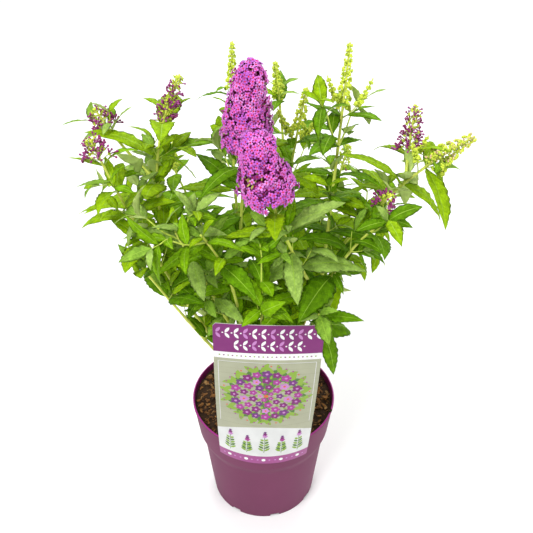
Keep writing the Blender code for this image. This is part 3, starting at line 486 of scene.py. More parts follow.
leafForm = dict(
    spread=(76, 50),
    arch=(30, 75),
    width=(0.34, 0.42),
    keel=0.016,
    lift=0.10,
    root=0.0007,
    sections=((0.32, 1.0), (0.68, 0.70)),
    bladeStart=0.12,
    facing=(0.6, 0.5),  # how much a blade faces along its shoot, and up
    lowest=0.285,
    skirtStart=0.075,
    skirtRise=1.6,
    skirtHeight=0.135,
    skirtFront=0.30,
    labelRise=0.80,
    boxRoom=0.003,
    tries=11,
    tryTurn=11,  # degrees further aside at every second try
    tryShort=0.035,
    stray=6,  # degrees
    sizes=(0.9, 1.1),
)

labelForm = dict(
    width=0.119,
    foot=0.1395,
    top=0.3905,
    footY=-0.0937,
    topY=-0.1200,
    thick=0.0008,
    footBend=0.0930,
    topBend=0.60,
    roll=radians(1.5),
)


def leafPoint(leaf, share):
    turn = leaf["arch"] * share
    scale = leaf["length"] / leaf["arch"]
    ahead = leaf["ahead"]
    upper = leaf["upper"]
    point = leaf["root"] + scale * (ahead * sin(turn) - upper * (1 - cos(turn)))
    return point, upper * cos(turn) + ahead * sin(turn)


def leafShell(leaf, start=0.0):
    across = leaf["ahead"].cross(leaf["upper"])
    points = []
    for share, width in [(start, None)] + list(leafForm["sections"][:leaf["sections"]]):
        middle, upper = leafPoint(leaf, share)
        if width is None:
            half = keel = leafForm["root"]
            lift = 0.0
        else:
            half = leaf["width"] / 2 * width
            keel = leaf["length"] * leafForm["keel"] * width
            lift = half * leafForm["lift"]
        edge = upper * (lift + leafRoom)
        points.append(middle + across * (half + leafRoom) + edge)
        points.append(middle - across * (half + leafRoom) + edge)
        points.append(middle - upper * (keel + leafRoom))
    faces = [(0, 2, 1)]
    for near in range(0, len(points), 3):
        for corner in range(3):
            right = (corner + 1) % 3
            if near + 3 < len(points):
                faces.append((near + corner, near + right, near + 3 + right))
                faces.append((near + corner, near + 3 + right, near + 3 + corner))
            else:
                faces.append((near + corner, near + right, near + 3))
    return points + [leafPoint(leaf, 1.0)[0]], faces


def outOfBox(tip):
    room = leafForm["boxRoom"]
    return any(tip[side] < cadLow[side] - room or tip[side] > cadHigh[side] + room for side in range(3))


def hangsTooLow(tip, owner):
    form = leafForm
    if tip.y < labelForm["footY"] and abs(tip.x) < labelForm["width"] / 2 + leafRoom:
        return tip.z < labelForm["top"] + form["labelRise"] * max(0.0, labelForm["topY"] - tip.y)
    if shootRows.get(owner, {}).get("hangs"):
        return tip.z < form["lowest"]
    rise = form["skirtRise"] * max(0.0, hypot(tip.x, tip.y) - form["skirtStart"])
    rise = min(rise, form["skirtHeight"]) + form["skirtFront"] * max(0.0, -tip.y)
    return tip.z < form["lowest"] + rise


def placeLeaf(taken, owner, parent, key, root, axis, around, spread, length, sections=2):
    form = leafForm
    chance = random.Random(key)
    along, up = form["facing"]
    arch = radians(chance.uniform(*form["arch"]))
    width = chance.uniform(*form["width"])
    spread = spread + radians(chance.uniform(-form["stray"], form["stray"]))
    length = length * chance.uniform(*form["sizes"])
    for attempt in range(form["tries"]):
        side = 1 if attempt % 2 else -1
        turn = side * radians(form["tryTurn"]) * ((attempt + 1) // 2)
        long = length * (1 - form["tryShort"] * attempt)
        ahead = spoke(spread, axis, swung(around, turn, axis))
        upper = sideOf(ahead, axis * along + Vector((0.0, 0.0, up)))
        leaf = dict(root=root, ahead=ahead, upper=upper, length=long, width=width * long, arch=arch,
                    sections=sections, key=key)
        tip = leafPoint(leaf, 1.0)[0]
        if outOfBox(tip) or hangsTooLow(tip, owner):
            continue
        whole = leafShell(leaf)
        blade = leafShell(leaf, form["bladeStart"])
        if isFree(taken, owner, parent, whole, blade):
            keep(taken, owner, whole, blade)
            return leaf
    return None


# the fine mesh of a leaf: rows swept forward along its side veins, every other one sunk

leafLook = dict(
    sweep=0.34,
    pleat=0.056,  # of the leaf's width
    pleatSpan=(0.8, 0.05),
    tooth=0.055,
    wave=(0.030, 16, 0.8, 1.6),  # height, waves along and across, and how much of it the edge takes
    fold=(0.30, 0.4, 1.3),  # mean, then its least and greatest share
    twist=dict(big=0.35, small=0.70),
    droop=(0.22, 0.5, 1.6),
    sway=0.05,
    edge=(0.0006, 0.00008),  # half width of the stalk, at its foot and at the tip
    thick=0.00022,
    ribThick=(2.6, 1.6),
    stalk=0.045,
    widest=(0.58, 0.80),
    tailing=(0.90, 1.16),
    bigFrom=0.048,
    big=(18, (0.032, 0.36, 0.70, 1.0)),
    small=(11, (0.045, 0.55, 1.0)),
    slim=0.18,  # how much narrower the blade is at the top of a shoot
    crumple=(0.0007, 0.006, 120.0),  # height, width of blade from which it is full, and scale
)


def leafGrid(rows, columns):
    # one pattern of faces for every leaf of a kind; tints: 0 blade, 1 rib, 2 underside
    wide = 2 * columns + 1
    faces = []
    tints = []

    def under(row, column):
        if row in (0, rows) or column in (0, wide - 1):
            return row * wide + column
        return (rows + 1) * wide + (row - 1) * (wide - 2) + column - 1

    for row in range(rows):
        for column in range(wide - 1):
            near = row * wide + column
            faces.append((near, near + 1, near + wide + 1, near + wide))
            faces.append((under(row, column), under(row + 1, column), under(row + 1, column + 1),
                          under(row, column + 1)))
            tints += [1 if column in (columns - 1, columns) else 0, 2]
    return faces, tints


leafPatterns = {kind: leafGrid(leafLook[kind][0], len(leafLook[kind][1])) for kind in ("big", "small")}


def leafMesh(leaf, kind):
    look = leafLook
    rows, shares = look[kind]
    chance = random.Random(leaf["key"] + " shape")
    front = chance.uniform(*look["widest"])
    back = chance.uniform(*look["tailing"])
    peak = front / (front + back)
    norm = 1 / (peak ** front * (1 - peak) ** back)
    half = leaf["width"] / 2 * (1 - look["slim"] * leaf.get("height", 0.0))
    fold = look["fold"][0] * chance.uniform(*look["fold"][1:])
    droop = look["droop"][0] * chance.uniform(*look["droop"][1:])
    phase = chance.uniform(0, 6.28)
    twist = chance.uniform(-1, 1) * look["twist"][kind]
    sway = chance.uniform(-look["sway"], look["sway"]) * leaf["length"]
    wave, along, beside, outward = look["wave"]
    crumple, full, scale = look["crumple"]
    rib, thin = look["ribThick"]
    span, inner = look["pleatSpan"]
    across = leaf["ahead"].cross(leaf["upper"])
    columns = [-share for share in reversed(shares)] + [0.0] + list(shares)
    topPoints = []
    underPoints = []
    for row in range(rows + 1):
        sunk = -1 if row % 2 else 1
        for place, column in enumerate(columns):
            out = abs(column)
            share = row / rows
            share += look["sweep"] * out * share * (1 - share)
            blade = max(0.0, (share - look["stalk"]) / (1 - look["stalk"]))
            width = half * norm * blade ** front * max(0.0, 1 - blade) ** back
            width = max(width, look["edge"][0] * (1 - share) + look["edge"][1])
            middle, upper = leafPoint(leaf, share)
            aside = spoke(twist * share, across, upper)
            lifted = spoke(twist * share, upper, -across)
            edge = 1 + look["tooth"] * sunk * (out == 1.0)
            rough = noise.noise((middle + across * column * half) * scale)
            rise = width * (fold * out - droop * out * out)
            rise += sunk * look["pleat"] * width * sin(pi * min(1.0, out * span + inner))
            rise += wave * width * sin(share * along + phase + column * beside) * out * out * outward
            rise += crumple * min(1.0, width / full) * rough
            spot = middle + across * sway * share * share + aside * (column * width * edge) + lifted * rise
            topPoints.append(spot)
            if 0 < row < rows and 0 < place < len(columns) - 1:
                thick = look["thick"] * (rib - thin * share if out == 0.0 else 1.0)
                underPoints.append(spot - lifted * thick)
    return topPoints + underPoints, *leafPatterns[kind]


# twigs, side shoots and the rough shapes of the blossoms, placed as in the solids

twigForm = dict(
    radii=(0.0011, 0.0007),
    lean=(34, 46),
    length=(0.030, 0.046),
    flowerLength=(0.014, 0.022),
    rise=0.15,
    steps=2,
    leaf=0.034,
    pairs=(0.5, 0.97),
    flowerPairs=(0.55,),
    pairTurn=20,
    pairSpread=(58, 34),  # degrees off the twig, at the first pair and at the second
    pairSize=(1.15, 0.85),
    shootRadii=(0.0020, 0.0011),
    shootSides=4,
    shootEnd=0.985,  # of the route, where the room kept for a shoot ends
    firstPair=0.05,
    endLeaves=4,
    endPlace=0.97,
    endTurn=30,
    endPlaces=((22, 0.9), (34, 1.2)),  # spread and size of the end leaves, by turns
    bareTop=dict(panicle=0.06),  # share of a shoot without leaves below what ends it
    otherTop=0.02,
)

bloomForm = dict(
    panicleRadius=0.0255,
    panicleShape=((0.00, 0.28), (0.05, 0.78), (0.16, 1.00), (0.30, 0.98), (0.44, 0.90), (0.58, 0.80),
                  (0.72, 0.68), (0.86, 0.53), (0.97, 0.30)),
    panicleSides=10,
    floretBump=0.12,
    budRadius=0.0075,
    budWhorls=6,
    budSides=4,
    budBump=0.18,
    waist=(0.02, 0.35),  # place above the foot of a whorl, and radius against the widest
    bulge=0.55,
    thin=0.72,
    sideLength=0.026,
    sideWhorls=3,
    sideStart=0.24,
    sideRise=0.004,
    sideSlim=(0.60, 0.55),  # radius against a full spike's, and that of the room it takes
    openingRadius=0.0055,
    openingShape=((0.02, 0.4), (0.20, 1.0), (0.55, 0.8), (0.85, 0.5)),
    openingBump=0.15,
    tubeLength=0.0125,
    tubeRadius=0.0013,
    tubeCount=9,
    tubeSpan=(0.12, 0.66),
    tubeTurn=2.4,
    tubeSwing=0.3,
    tubeLean=(0.3, 0.9),
    tubeLong=(0.85, 1.15),
)


def ringed(route, start, rings, sides, bump, key):
    chance = random.Random(key)
    points = []
    faces = []
    across = slant
    for index, (share, radius) in enumerate(rings):
        middle, ahead = placeOn(route, start + (1 - start) * share)
        across = sideOf(ahead, across)
        other = ahead.cross(across)
        for angle in circle(sides, 0.5 * (index % 2)):
            lump = radius * (1 + bump * chance.uniform(-1, 1))
            points.append(middle + lump * spoke(angle, across, other))
    for index in range(len(rings) - 1):
        near = index * sides
        far = near + sides
        for corner in range(sides):
            right = (corner + 1) % sides
            low, high = (corner, right) if index % 2 else (right, corner)
            faces.append((near + corner, near + right, far + high))
            faces.append((near + low, far + right, far + corner))
    faces.append(tuple(reversed(range(sides))))
    top = (len(rings) - 1) * sides
    for corner in range(sides):
        faces.append((top + corner, top + (corner + 1) % sides, len(points)))
    return points + [route[-1]], faces


def budSpike(route, start, whorls, radius, key):
    rings = []
    above, narrow = bloomForm["waist"]
    for whorl in range(whorls):
        share = whorl / whorls
        size = radius * (1 - bloomForm["thin"] * share)
        rings.append((share + above, size * narrow))
        rings.append((share + bloomForm["bulge"] / whorls, size))
    return ringed(route, start, rings, bloomForm["budSides"], bloomForm["budBump"], key)


def openingCluster(route, start, key):
    form = bloomForm
    chance = random.Random(key)
    rings = [(share, form["openingRadius"] * size) for share, size in form["openingShape"]]
    shells = [ringed(route, start, rings, form["budSides"], form["openingBump"], key)]
    low, span = form["tubeSpan"]
    swing = form["tubeSwing"]
    for number in range(form["tubeCount"]):
        middle, ahead = placeOn(route, start + (1 - start) * (low + span * number / form["tubeCount"]))
        around = sideAt(ahead, number * form["tubeTurn"] + chance.uniform(-swing, swing))
        aim = (around + ahead * chance.uniform(*form["tubeLean"])).normalized()
        tip = middle + aim * form["tubeLength"] * chance.uniform(*form["tubeLong"])
        foot = tube([middle, tip], (form["tubeRadius"],) * 2, 3)[0][:3]
        shells.append((foot + [tip], [(0, 2, 1), (0, 1, 3), (1, 2, 3), (2, 0, 3)]))
    return shells


def planShoot(name, number, row, foot, start):
    route = bow(start, row["bend"], row["tip"], shootSteps)
    return dict(name=name, key="%s %d" % (name, number), row=row, route=route, foot=foot, nodes=[],
                bloom=1 - row["length"] / routeLength(route))


def blossomShells(shoot):
    form = bloomForm
    end = shoot["row"]["end"]
    placed = (shoot["route"], shoot["bloom"])
    if end == "panicle":
        rings = [(share, form["panicleRadius"] * size) for share, size in form["panicleShape"]]
        return [ringed(*placed, rings, form["panicleSides"], form["floretBump"], shoot["key"])]
    if end == "buds":
        return [budSpike(*placed, form["budWhorls"], form["budRadius"], shoot["key"])]
    return openingCluster(*placed, shoot["key"]) if end == "opening" else []


plant = dict(leaves=[], twigs=[], spikes=[], openings=[], panicles=[], shoots=[], places=[], stemIndex={})


def placePairs(taken, name, parent, key, route, shares, wish, turn, spread, length, sections=1):
    # leaves on both sides at each of some places, every pair a quarter further round than the one before;
    # turn, spread and length are asked for pair by pair
    leaves = []
    for pair, share in enumerate(shares):
        point, axis = placeOn(route, share)
        out = sideAt(axis, radians(90 * pair + turn(pair)), wish)
        for side in (1, -1):
            leaves.append(placeLeaf(taken, name, parent, "%s %d %d" % (key, pair, side), point, axis,
                                    out * side, radians(spread(pair)), length(pair), sections))
    return leaves


def growTwig(taken, shoot, key, root, axis, around, flowers):
    form = twigForm
    name = shoot["name"]
    chance = random.Random(key)
    lean = radians(chance.uniform(*form["lean"]))
    ahead = spoke(lean, axis, around)
    length = chance.uniform(*form["flowerLength" if flowers else "length"])
    rise = Vector((0.0, 0.0, form["rise"] * length))
    route = bow(root, root + ahead * length * 0.5 - rise * 0.3, root + ahead * length + rise, form["steps"])
    roomy = [radius + leafRoom for radius in form["radii"]]
    whole = tube(route, roomy, 3)
    away = tube(route[1:], roomy, 3)
    if not isFree(taken, name, shoot["index"], whole, away):
        return []
    index = len(taken)
    keep(taken, name, whole, away)
    if flowers:
        long = bloomForm["sideLength"]
        radius = bloomForm["budRadius"]
        start = bloomForm["sideStart"]
        end = route[-1]
        slim, room = bloomForm["sideSlim"]
        rise = Vector((0.0, 0.0, bloomForm["sideRise"]))
        spike = bow(end, end + ahead * long * 0.5, end + ahead * long + rise, 2)
        spike.insert(0, route[-2])
        shell = budSpike(spike, start, bloomForm["sideWhorls"], radius * room, key)
        if isFree(taken, name, index, shell, shell):
            keep(taken, name, shell)
            plant["spikes"].append(dict(route=spike, start=start, radius=radius * slim, key=key))
    plant["twigs"].append(dict(route=route, radii=form["radii"]))
    plant["places"].append((shoot, index, key, route[-1], ahead, around, fineForm["tipSprig"]))
    return placePairs(taken, name, index, key, route, form["flowerPairs" if flowers else "pairs"], around,
                      lambda pair: form["pairTurn"], lambda pair: blend(*form["pairSpread"], pair),
                      lambda pair: form["leaf"] * blend(*form["pairSize"], pair))


def growLeaves(taken, shoot):
    form = twigForm
    row = shoot["row"]
    route = shoot["route"]
    key = shoot["key"]
    pairs = row["pairs"]
    first = row.get("first", form["firstPair"])
    last = shoot["bloom"] - form["bareTop"].get(row["end"], form["otherTop"])
    low, high = leafForm["spread"]
    leaves = []

    def addLeaf(name, *placed, **marks):
        leaf = placeLeaf(taken, shoot["name"], shoot["index"], name, *placed)
        if leaf:
            leaf.update(marks)
            leaves.append(leaf)

    for pair in range(pairs):
        share = pair / max(pairs - 1, 1)
        node = first + (last - first) * share
        point, axis = placeOn(route, node)
        across = sideAt(axis, radians(row["turn"] + 90 * pair))
        spread = radians(blend(low, row.get("spread", high), share))
        length = blend(*row["leaf"], share)
        shoot["nodes"].append(node)
        for side in (1, -1):
            name = "%s pair %d %d" % (key, pair, side)
            addLeaf(name, point, axis, across * side, spread, length, height=share)
            if pair >= pairs - row["sides"]:
                flowers = row["end"] != "leaves" and pair == pairs - 1
                leaves += growTwig(taken, shoot, name + " twig", point, axis, across * side, flowers)
            else:
                plant["places"].append((shoot, shoot["index"], name, point, axis, across * side, 1.0))
    if row["end"] == "leaves":
        point, axis = placeOn(route, form["endPlace"])
        for number in range(form["endLeaves"]):
            around = sideAt(axis, radians(90 * number + form["endTurn"]))
            spread, size = form["endPlaces"][number % 2]
            addLeaf("%s end %d" % (key, number), point, axis, around, radians(spread),
                    form["leaf"] * size, 1, young=True)
    return leaves


# finer growth of the dressed plant: leafy side sprigs in the leaf angles, and leaves on the stems

fineForm = dict(
    sprigLength=(0.008, 0.026),
    sprigRadii=(0.0007, 0.0004),
    sprigPairs=(0.55, 0.98),
    sprigLeaf=(0.030, 0.052),
    sprigShare=0.62,
    tipSprig=0.9,  # size of a sprig at the tip of a side shoot
    sprigLean=(30, 55),
    sprigAside=25,  # degrees to either side of its leaf
    sprigTurn=20,
    sprigSpread=(56, 34),
    sprigTaper=0.25,
    sprigRise=0.1,
    stemPairs=(0.52, 0.745, 0.97),
    stemSpread=64,
    stemLeaf=(0.045, 0.070),
    stemTurn=45,
)


def growSprig(taken, shoot, parent, key, root, axis, around, size):
    form = fineForm
    chance = random.Random(key + " sprig")
    if chance.random() > form["sprigShare"]:
        return []
    lean = radians(chance.uniform(*form["sprigLean"]))
    aside = swung(around, radians(chance.uniform(-form["sprigAside"], form["sprigAside"])), axis)
    ahead = spoke(lean, axis, aside).normalized()
    length = chance.uniform(*form["sprigLength"]) * size
    rise = Vector((0.0, 0.0, form["sprigRise"] * length))
    route = bow(root, root + ahead * length * 0.5, root + ahead * length + rise, 3)
    turn = form["sprigTurn"]
    taper = form["sprigTaper"]
    leaves = placePairs(taken, shoot["name"], parent, key + " sprig", route, form["sprigPairs"], aside,
                        lambda pair: chance.uniform(-turn, turn),
                        lambda pair: blend(*form["sprigSpread"], pair),
                        lambda pair: chance.uniform(*form["sprigLeaf"]) * size * (1 - taper * pair))
    for leaf in filter(None, leaves[-2:]):
        leaf["young"] = True
    if any(leaves):
        plant["twigs"].append(dict(route=route, radii=form["sprigRadii"]))
    return leaves


def growStemLeaves(taken, name, route, row):
    form = fineForm
    return placePairs(taken, name, plant["stemIndex"][name], name + " stem leaf", route, form["stemPairs"],
                      toRight, lambda pair: row["side"] + form["stemTurn"], lambda pair: form["stemSpread"],
                      lambda pair: blend(*form["stemLeaf"], pair / 2), sections=2)


def addLeaves(spray, leaves):
    for leaf in filter(None, leaves):  # a place without room has none
        leaf["spray"] = spray
        plant["leaves"].append(leaf)


def shellOf(obj):
    faces = [tuple(face.vertices) for face in obj.data.polygons]
    return [spot.co.copy() for spot in obj.data.vertices], faces


def planShoots(name, row, routes):
    # the shoot at its seat on the stem, and the forks that leave it
    carrier = stemRows[row["stem"]]
    at = row["at"]
    point, ahead = placeOn(routes[row["stem"]], at)
    aim = Vector(row["bend"]) - point
    out = ahead if at >= 1.0 else sideOf(ahead, aim)
    tilt = sqrt(max(0.0, 1.0 - aim.normalized().dot(out) ** 2))
    gap = clear + twigForm["shootRadii"][0] * tilt + (blend(*carrier["radii"], at) if at < 1.0 else 0.0)
    shoots = [planShoot(name, 0, row, point, point + out * gap)]
    for number, fork in enumerate(row.get("forks", ())):
        root = placeOn(shoots[0]["route"], fork["at"])[0]
        shoots.append(planShoot(name, number + 1, fork, root, root))
    return shoots


def growPlant():
    taken = []
    for name in ("pot", "label", "root_crown"):
        keep(taken, name, shellOf(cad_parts[name]))
    routes = {}
    for name, row in stemRows.items():
        routes[name] = stemRoute(row)
        plant["stemIndex"][name] = len(taken)
        keep(taken, name, tube(routes[name], row["radii"], 6))
    kinds = dict(panicle="panicles", buds="spikes", opening="openings")
    for name, row in shootRows.items():
        for shoot in planShoots(name, row, routes):
            shoot["index"] = len(taken)
            path = shoot["route"][:-1] + [placeOn(shoot["route"], twigForm["shootEnd"])[0]]
            turn = radians(shoot["row"]["turn"] + 180 / twigForm["shootSides"])
            keep(taken, name, tube(path, twigForm["shootRadii"], twigForm["shootSides"], turn))
            for shell in blossomShells(shoot):
                keep(taken, name, shell)
            end = shoot["row"]["end"]
            if end in kinds:
                plant[kinds[end]].append(dict(route=shoot["route"], start=shoot["bloom"], key=shoot["key"],
                                              radius=bloomForm["budRadius"]))
            plant["shoots"].append(shoot)
    for shoot in plant["shoots"]:
        addLeaves(shoot["name"], growLeaves(taken, shoot))
    print("main leaves", len(plant["leaves"]))
    for name, row in stemRows.items():
        addLeaves(name, growStemLeaves(taken, name, routes[name], row))
    for place in plant["places"]:
        addLeaves(place[0]["name"], growSprig(taken, *place))
    print("all leaves", len(plant["leaves"]))
    return routes


# blossom: small turned shapes set along the routes of the spikes and panicles

def turned(spot, out, profile, sides):
    across = sideOf(out, askew)
    other = out.cross(across)
    points = []
    for height, radius in profile:
        for angle in circle(sides):
            points.append(spot + out * height + radius * spoke(angle, across, other))
    return points, walls(len(profile), sides)


def budAt(heap, spot, out, radius, long, tint):
    profile = ((-0.4 * radius, 0.45 * radius), (0.25 * long, radius), (0.65 * long, 0.86 * radius),
               (long, 0.30 * radius))
    heap.add(*turned(spot, out, profile, 5), tint)


def randomAim(chance):
    return Vector([chance.gauss(0, 1) for side in range(3)]).normalized()


def placeUp(row, share):
    # a place on the blossom that ends a route, as a share of the blossom
    return placeOn(row["route"], row["start"] + (1 - row["start"]) * share)


def stalkUp(row, end, steps):
    start = row["start"]
    return [placeOn(row["route"], start + (end - start) * step / steps)[0] for step in range(steps + 1)]


def blossomLength(row):
    return routeLength(row["route"]) * (1 - row["start"])


spikeLook = dict(
    whorlGap=0.0046,
    tufts=((10, 0.62), (3, 0.30)),  # buds in the main tufts and in those between, and how far out they sit
    tuftReach=0.26,
    budRadius=(0.00145, 0.00085),
    thin=0.70,  # how much slimmer the spike is at its tip
    axisRadius=(0.0011, 0.0005),
    tipBud=(0.0008, 0.0019),
    girth={"foliage_far_right 0": 2.05, "foliage_inner 0": 1.35, "foliage_tall 0": 1.15,
           "foliage_back_middle 0": 1.15},
    blush=("foliage_far_right 0",),  # spikes whose buds are about to colour
    fewest=5,  # whorls
    first=0.35,  # of a whorl, from the foot to the first
    wander=(0.9, 1.1),
    lean=(0.35, 0.7),  # how far a tuft leans up the spike
    budSize=(0.8, 1.1),
    budLong=2.1,
    tipBuds=5,
    tipGap=0.0015,
)


def dressSpike(heap, row):
    look = spikeLook
    chance = random.Random(row["key"] + " buds")
    girth = look["girth"].get(row["key"], 1.0)
    tints = (0, 0, 0, 1, 2) if row["key"] in look["blush"] else (0, 0, 1)
    whorls = max(look["fewest"], round(blossomLength(row) / look["whorlGap"]))
    heap.add(*tube(stalkUp(row, 0.98, 8), look["axisRadius"], 5), 1)
    for whorl in range(whorls):
        share = (whorl + look["first"]) / whorls
        middle, ahead = placeUp(row, share)
        reach = row["radius"] * girth * (1 - look["thin"] * share) * chance.uniform(*look["wander"])
        across = sideAt(ahead, radians(90 * whorl + 30))
        size = blend(*look["budRadius"], share)
        for side in range(4):
            aside = swung(across, radians(90 * side), ahead)
            lean = (aside + ahead * chance.uniform(*look["lean"])).normalized()
            buds, place = look["tufts"][side % 2]
            for number in range(buds if side % 2 else round(buds * girth)):
                aim = (lean * 1.1 + randomAim(chance)).normalized()
                spot = middle + lean * reach * place + aim * reach * look["tuftReach"]
                budAt(heap, spot, aim, size * chance.uniform(*look["budSize"]), size * look["budLong"],
                      chance.choice(tints))
    tip, ahead = placeOn(row["route"], 1.0)
    for number in range(look["tipBuds"]):
        aim = (ahead * 2.2 + randomAim(chance)).normalized()
        budAt(heap, tip - ahead * look["tipGap"] * number, aim, *look["tipBud"], 0)


# slender side racemes, by the shoot that bears them: place on it, then bend and tip from there

racemeForm = dict(
    bare=0.46,  # share of the stalk below the first buds
    radius=0.0030,
    stalk=(0.0007, 0.0004),
    rows={
        "foliage_tall 0": ((0.72, (-0.007, 0.0, 0.018), (-0.016, 0.0, 0.041)),
                           (0.71, (0.015, 0.0, 0.015), (0.028, 0.0, 0.041))),
        "foliage_far_right 0": ((0.76, (-0.004, -0.006, 0.018), (-0.011, -0.006, 0.036)),
                                (0.86, (0.004, -0.004, -0.007), (0.003, -0.006, -0.017))),
        "foliage_far_right 1": ((0.42, (0.010, 0.0, 0.006), (0.018, 0.0, 0.023)),),
    },
)


def growRacemes():
    form = racemeForm
    for shoot in plant["shoots"]:
        for number, (place, bend, tip) in enumerate(form["rows"].get(shoot["key"], ())):
            foot = placeOn(shoot["route"], place)[0]
            route = bow(foot, foot + Vector(bend), foot + Vector(tip), 8)
            key = "%s raceme %d" % (shoot["key"], number)
            plant["twigs"].append(dict(route=route, radii=form["stalk"]))
            plant["spikes"].append(dict(route=route, start=form["bare"], radius=form["radius"], key=key))


openingLook = dict(
    whorlGap=0.0050,
    axisRadius=(0.0010, 0.0005),
    branchRadius=(0.00055, 0.00040),
    cymes=4,
    flowers=6,
    hub=(0.30, 0.52),  # how far out the cymes sit, as a share of the reach
    length=(0.0055, 0.0092),
    shape=((0.0, 0.00055), (0.62, 0.000605), (0.82, 0.00125), (0.96, 0.00100), (1.0, 0.0003125)),
    fade=0.92,  # how much of the colour is gone at the tip
    shorter=0.4,
    cup=(0.00085, 0.0025),
    tipBud=(0.0010, 0.0021),
    reach=0.0185,
    narrow=0.62,
    girth={"foliage_far_right 1": 1.25, "foliage_far_left 0": 1.30, "foliage_left 1": 1.25,
           "foliage_left 0": 0.80},
    purple={"foliage_left 0": 0.50, "foliage_back_right 0": 0.04},  # share of the lowest buds in colour
    otherPurple=0.92,
    fewest=4,  # whorls
    first=0.25,
    turn=1.1,
    swing=0.35,
    lean=(0.35, 0.85),
    stalk=(0.0006, 0.0026),
    sunk=0.0010,  # how far a cup sits behind its flower's foot
    tipBuds=12,
    tipReach=0.0014,
)


def dressOpening(buds, closed, row):
    # cymes of closed purple flowers in green cups; towards the tip only the green buds are left
    look = openingLook
    chance = random.Random(row["key"] + " opening")
    buds.add(*tube(stalkUp(row, 0.99, 6), look["axisRadius"], 5), 1)
    whorls = max(look["fewest"], round(blossomLength(row) / look["whorlGap"]))
    reach = look["reach"] * look["girth"].get(row["key"], 1.0)
    purple = look["purple"].get(row["key"], look["otherPurple"])
    for whorl in range(whorls):
        share = (whorl + look["first"]) / whorls
        middle, ahead = placeUp(row, share * 0.96)
        across = sideAt(ahead, look["turn"] * whorl)
        for angle in circle(look["cymes"]):
            aside = swung(across, angle + chance.uniform(-look["swing"], look["swing"]), ahead)
            lean = (aside + ahead * chance.uniform(*look["lean"])).normalized()
            hub = middle + lean * reach * (1 - look["narrow"] * share) * chance.uniform(*look["hub"])
            buds.add(*tube([middle, hub], look["branchRadius"], 4), 1)
            for number in range(look["flowers"]):
                aim = (lean * 1.1 + randomAim(chance) * 0.9).normalized()
                foot = hub + aim * chance.uniform(*look["stalk"])
                budAt(buds, foot - aim * look["sunk"], aim, *look["cup"], chance.choice((0, 1)))
                if chance.random() < purple * (1 - look["fade"] * share * share):
                    long = chance.uniform(*look["length"]) * (1.0 - look["shorter"] * share)
                    profile = [(place * long, radius) for place, radius in look["shape"]]
                    closed.add(*turned(foot, aim, profile, 6), chance.choice((0, 0, 1)))
    tip, ahead = placeOn(row["route"], 0.985)
    for number in range(look["tipBuds"]):
        aim = (ahead * 1.1 + randomAim(chance)).normalized()
        budAt(buds, tip + aim * look["tipReach"], aim, *look["tipBud"], 0)


panicleLook = dict(
    spacing=0.0046,
    floret=0.0033,
    core=0.50,
    coreSpan=(0.10, 0.82),
    coreSteps=24,
    coreSides=20,
    coreTaper=(0.85, 6),
    tube=(0.0080, ((0.0, 0.0005), (0.6, 0.0006), (0.925, 0.0010))),  # length, then shares of it and radii
    rings=((0.30, -0.0002), (0.70, 0.0004), (1.0, -0.0003)),  # eye and lobes: share of the size, and rise
    notch=0.42,  # how far the gaps between the lobes reach in
    lump=0.20,
    hem={"foliage_front_bloom 0": 0.13, "foliage_top_bloom 0": 0.05},  # mean height of the ragged lower edge
    bare=-0.30,  # where the noise is under this, closed flowers and cups show between the open ones
    closedShare=(0.04, 0.70),  # of the places among the open flowers, and of the bare ones
    budSunk=(0.003, 0.006),
    scales=dict(hem=75.0, lump=100.0, bare=62.0, hue=55.0),
    hues=(-0.22, 0.30),  # below the first a floret is violet, above the second light
    hueStray=0.35,
    hemStray=1.5,
    foot=(0.08, -0.30),  # up to where the florets face down, and how much
    head=(0.72, 0.12, 2.4),  # from where on they face up more, how much before it, and how fast
    rowStep=0.80,
    rowEnd=0.985,
    fill=0.95,
    swing=0.25,
    tilt=0.35,
    loose=0.20,  # how much an aim strays
    reach=(0.86, 1.06),
    scatter=0.0012,
    size=(0.84, 1.10),
    sizeFall=0.12,
    layers=((1.00, 16, 1.0), (0.76, 12, 1.20)),  # share of the radius, steps round a floret, spacing
    open=0.975,  # share of the panicle's height that is in flower; closed buds end it
    bud=(0.0010, 0.0044),
    crest=25,
    crestFrom=0.955,
    crestRise=0.0052,
    crestTurn=2.4,  # each flower of the crest stands this much further round than the one before
    crestLean=0.9,
    crestLoose=0.45,
    crestReach=0.92,
    crestSize=0.9,
    blunt=(0.70, 0.50),  # from where on the top is fuller than the solid's, and by how much
)


def floretAt(heap, spot, out, turn, size, tint, steps):
    # an eye, and four round lobes about it, on a slender tube; tints 0-3 lobes, 4 eye, 5 tube
    across = sideAt(out, turn, askew)
    other = out.cross(across)
    notch = panicleLook["notch"]
    points = [spot - out * 0.0006]
    for share, rise in panicleLook["rings"]:
        lobed = share > panicleLook["rings"][0][0]
        for angle in circle(steps):
            lobe = abs(cos(2 * angle)) ** 0.55 if lobed else 1.0
            reach = size * share * (notch + (1 - notch) * lobe)
            lift = rise - 0.0006 * (1 - lobe)
            points.append(spot + out * lift + reach * spoke(angle, across, other))
    eye = [(0, 1 + step, 1 + (step + 1) % steps) for step in range(steps)]
    lobes = walls(3, steps, first=1, capped=False)
    heap.add(points, eye + lobes, [4] * steps + [tint] * len(lobes))
    long, profile = panicleLook["tube"]
    profile = [(share * long, radius) for share, radius in profile]
    heap.add(*turned(spot - out * long, out, profile, 5), 5)


def panicleRadius(share):
    shape = bloomForm["panicleShape"]
    above, fuller = panicleLook["blunt"]
    swell = bloomForm["panicleRadius"] * (1 + fuller * max(0.0, share - above) / (1 - above))
    last = shape[-1][0]
    return swell * readOff(shape, share) * (max(0.25, (1 - share) / (1 - last)) if share > last else 1.0)


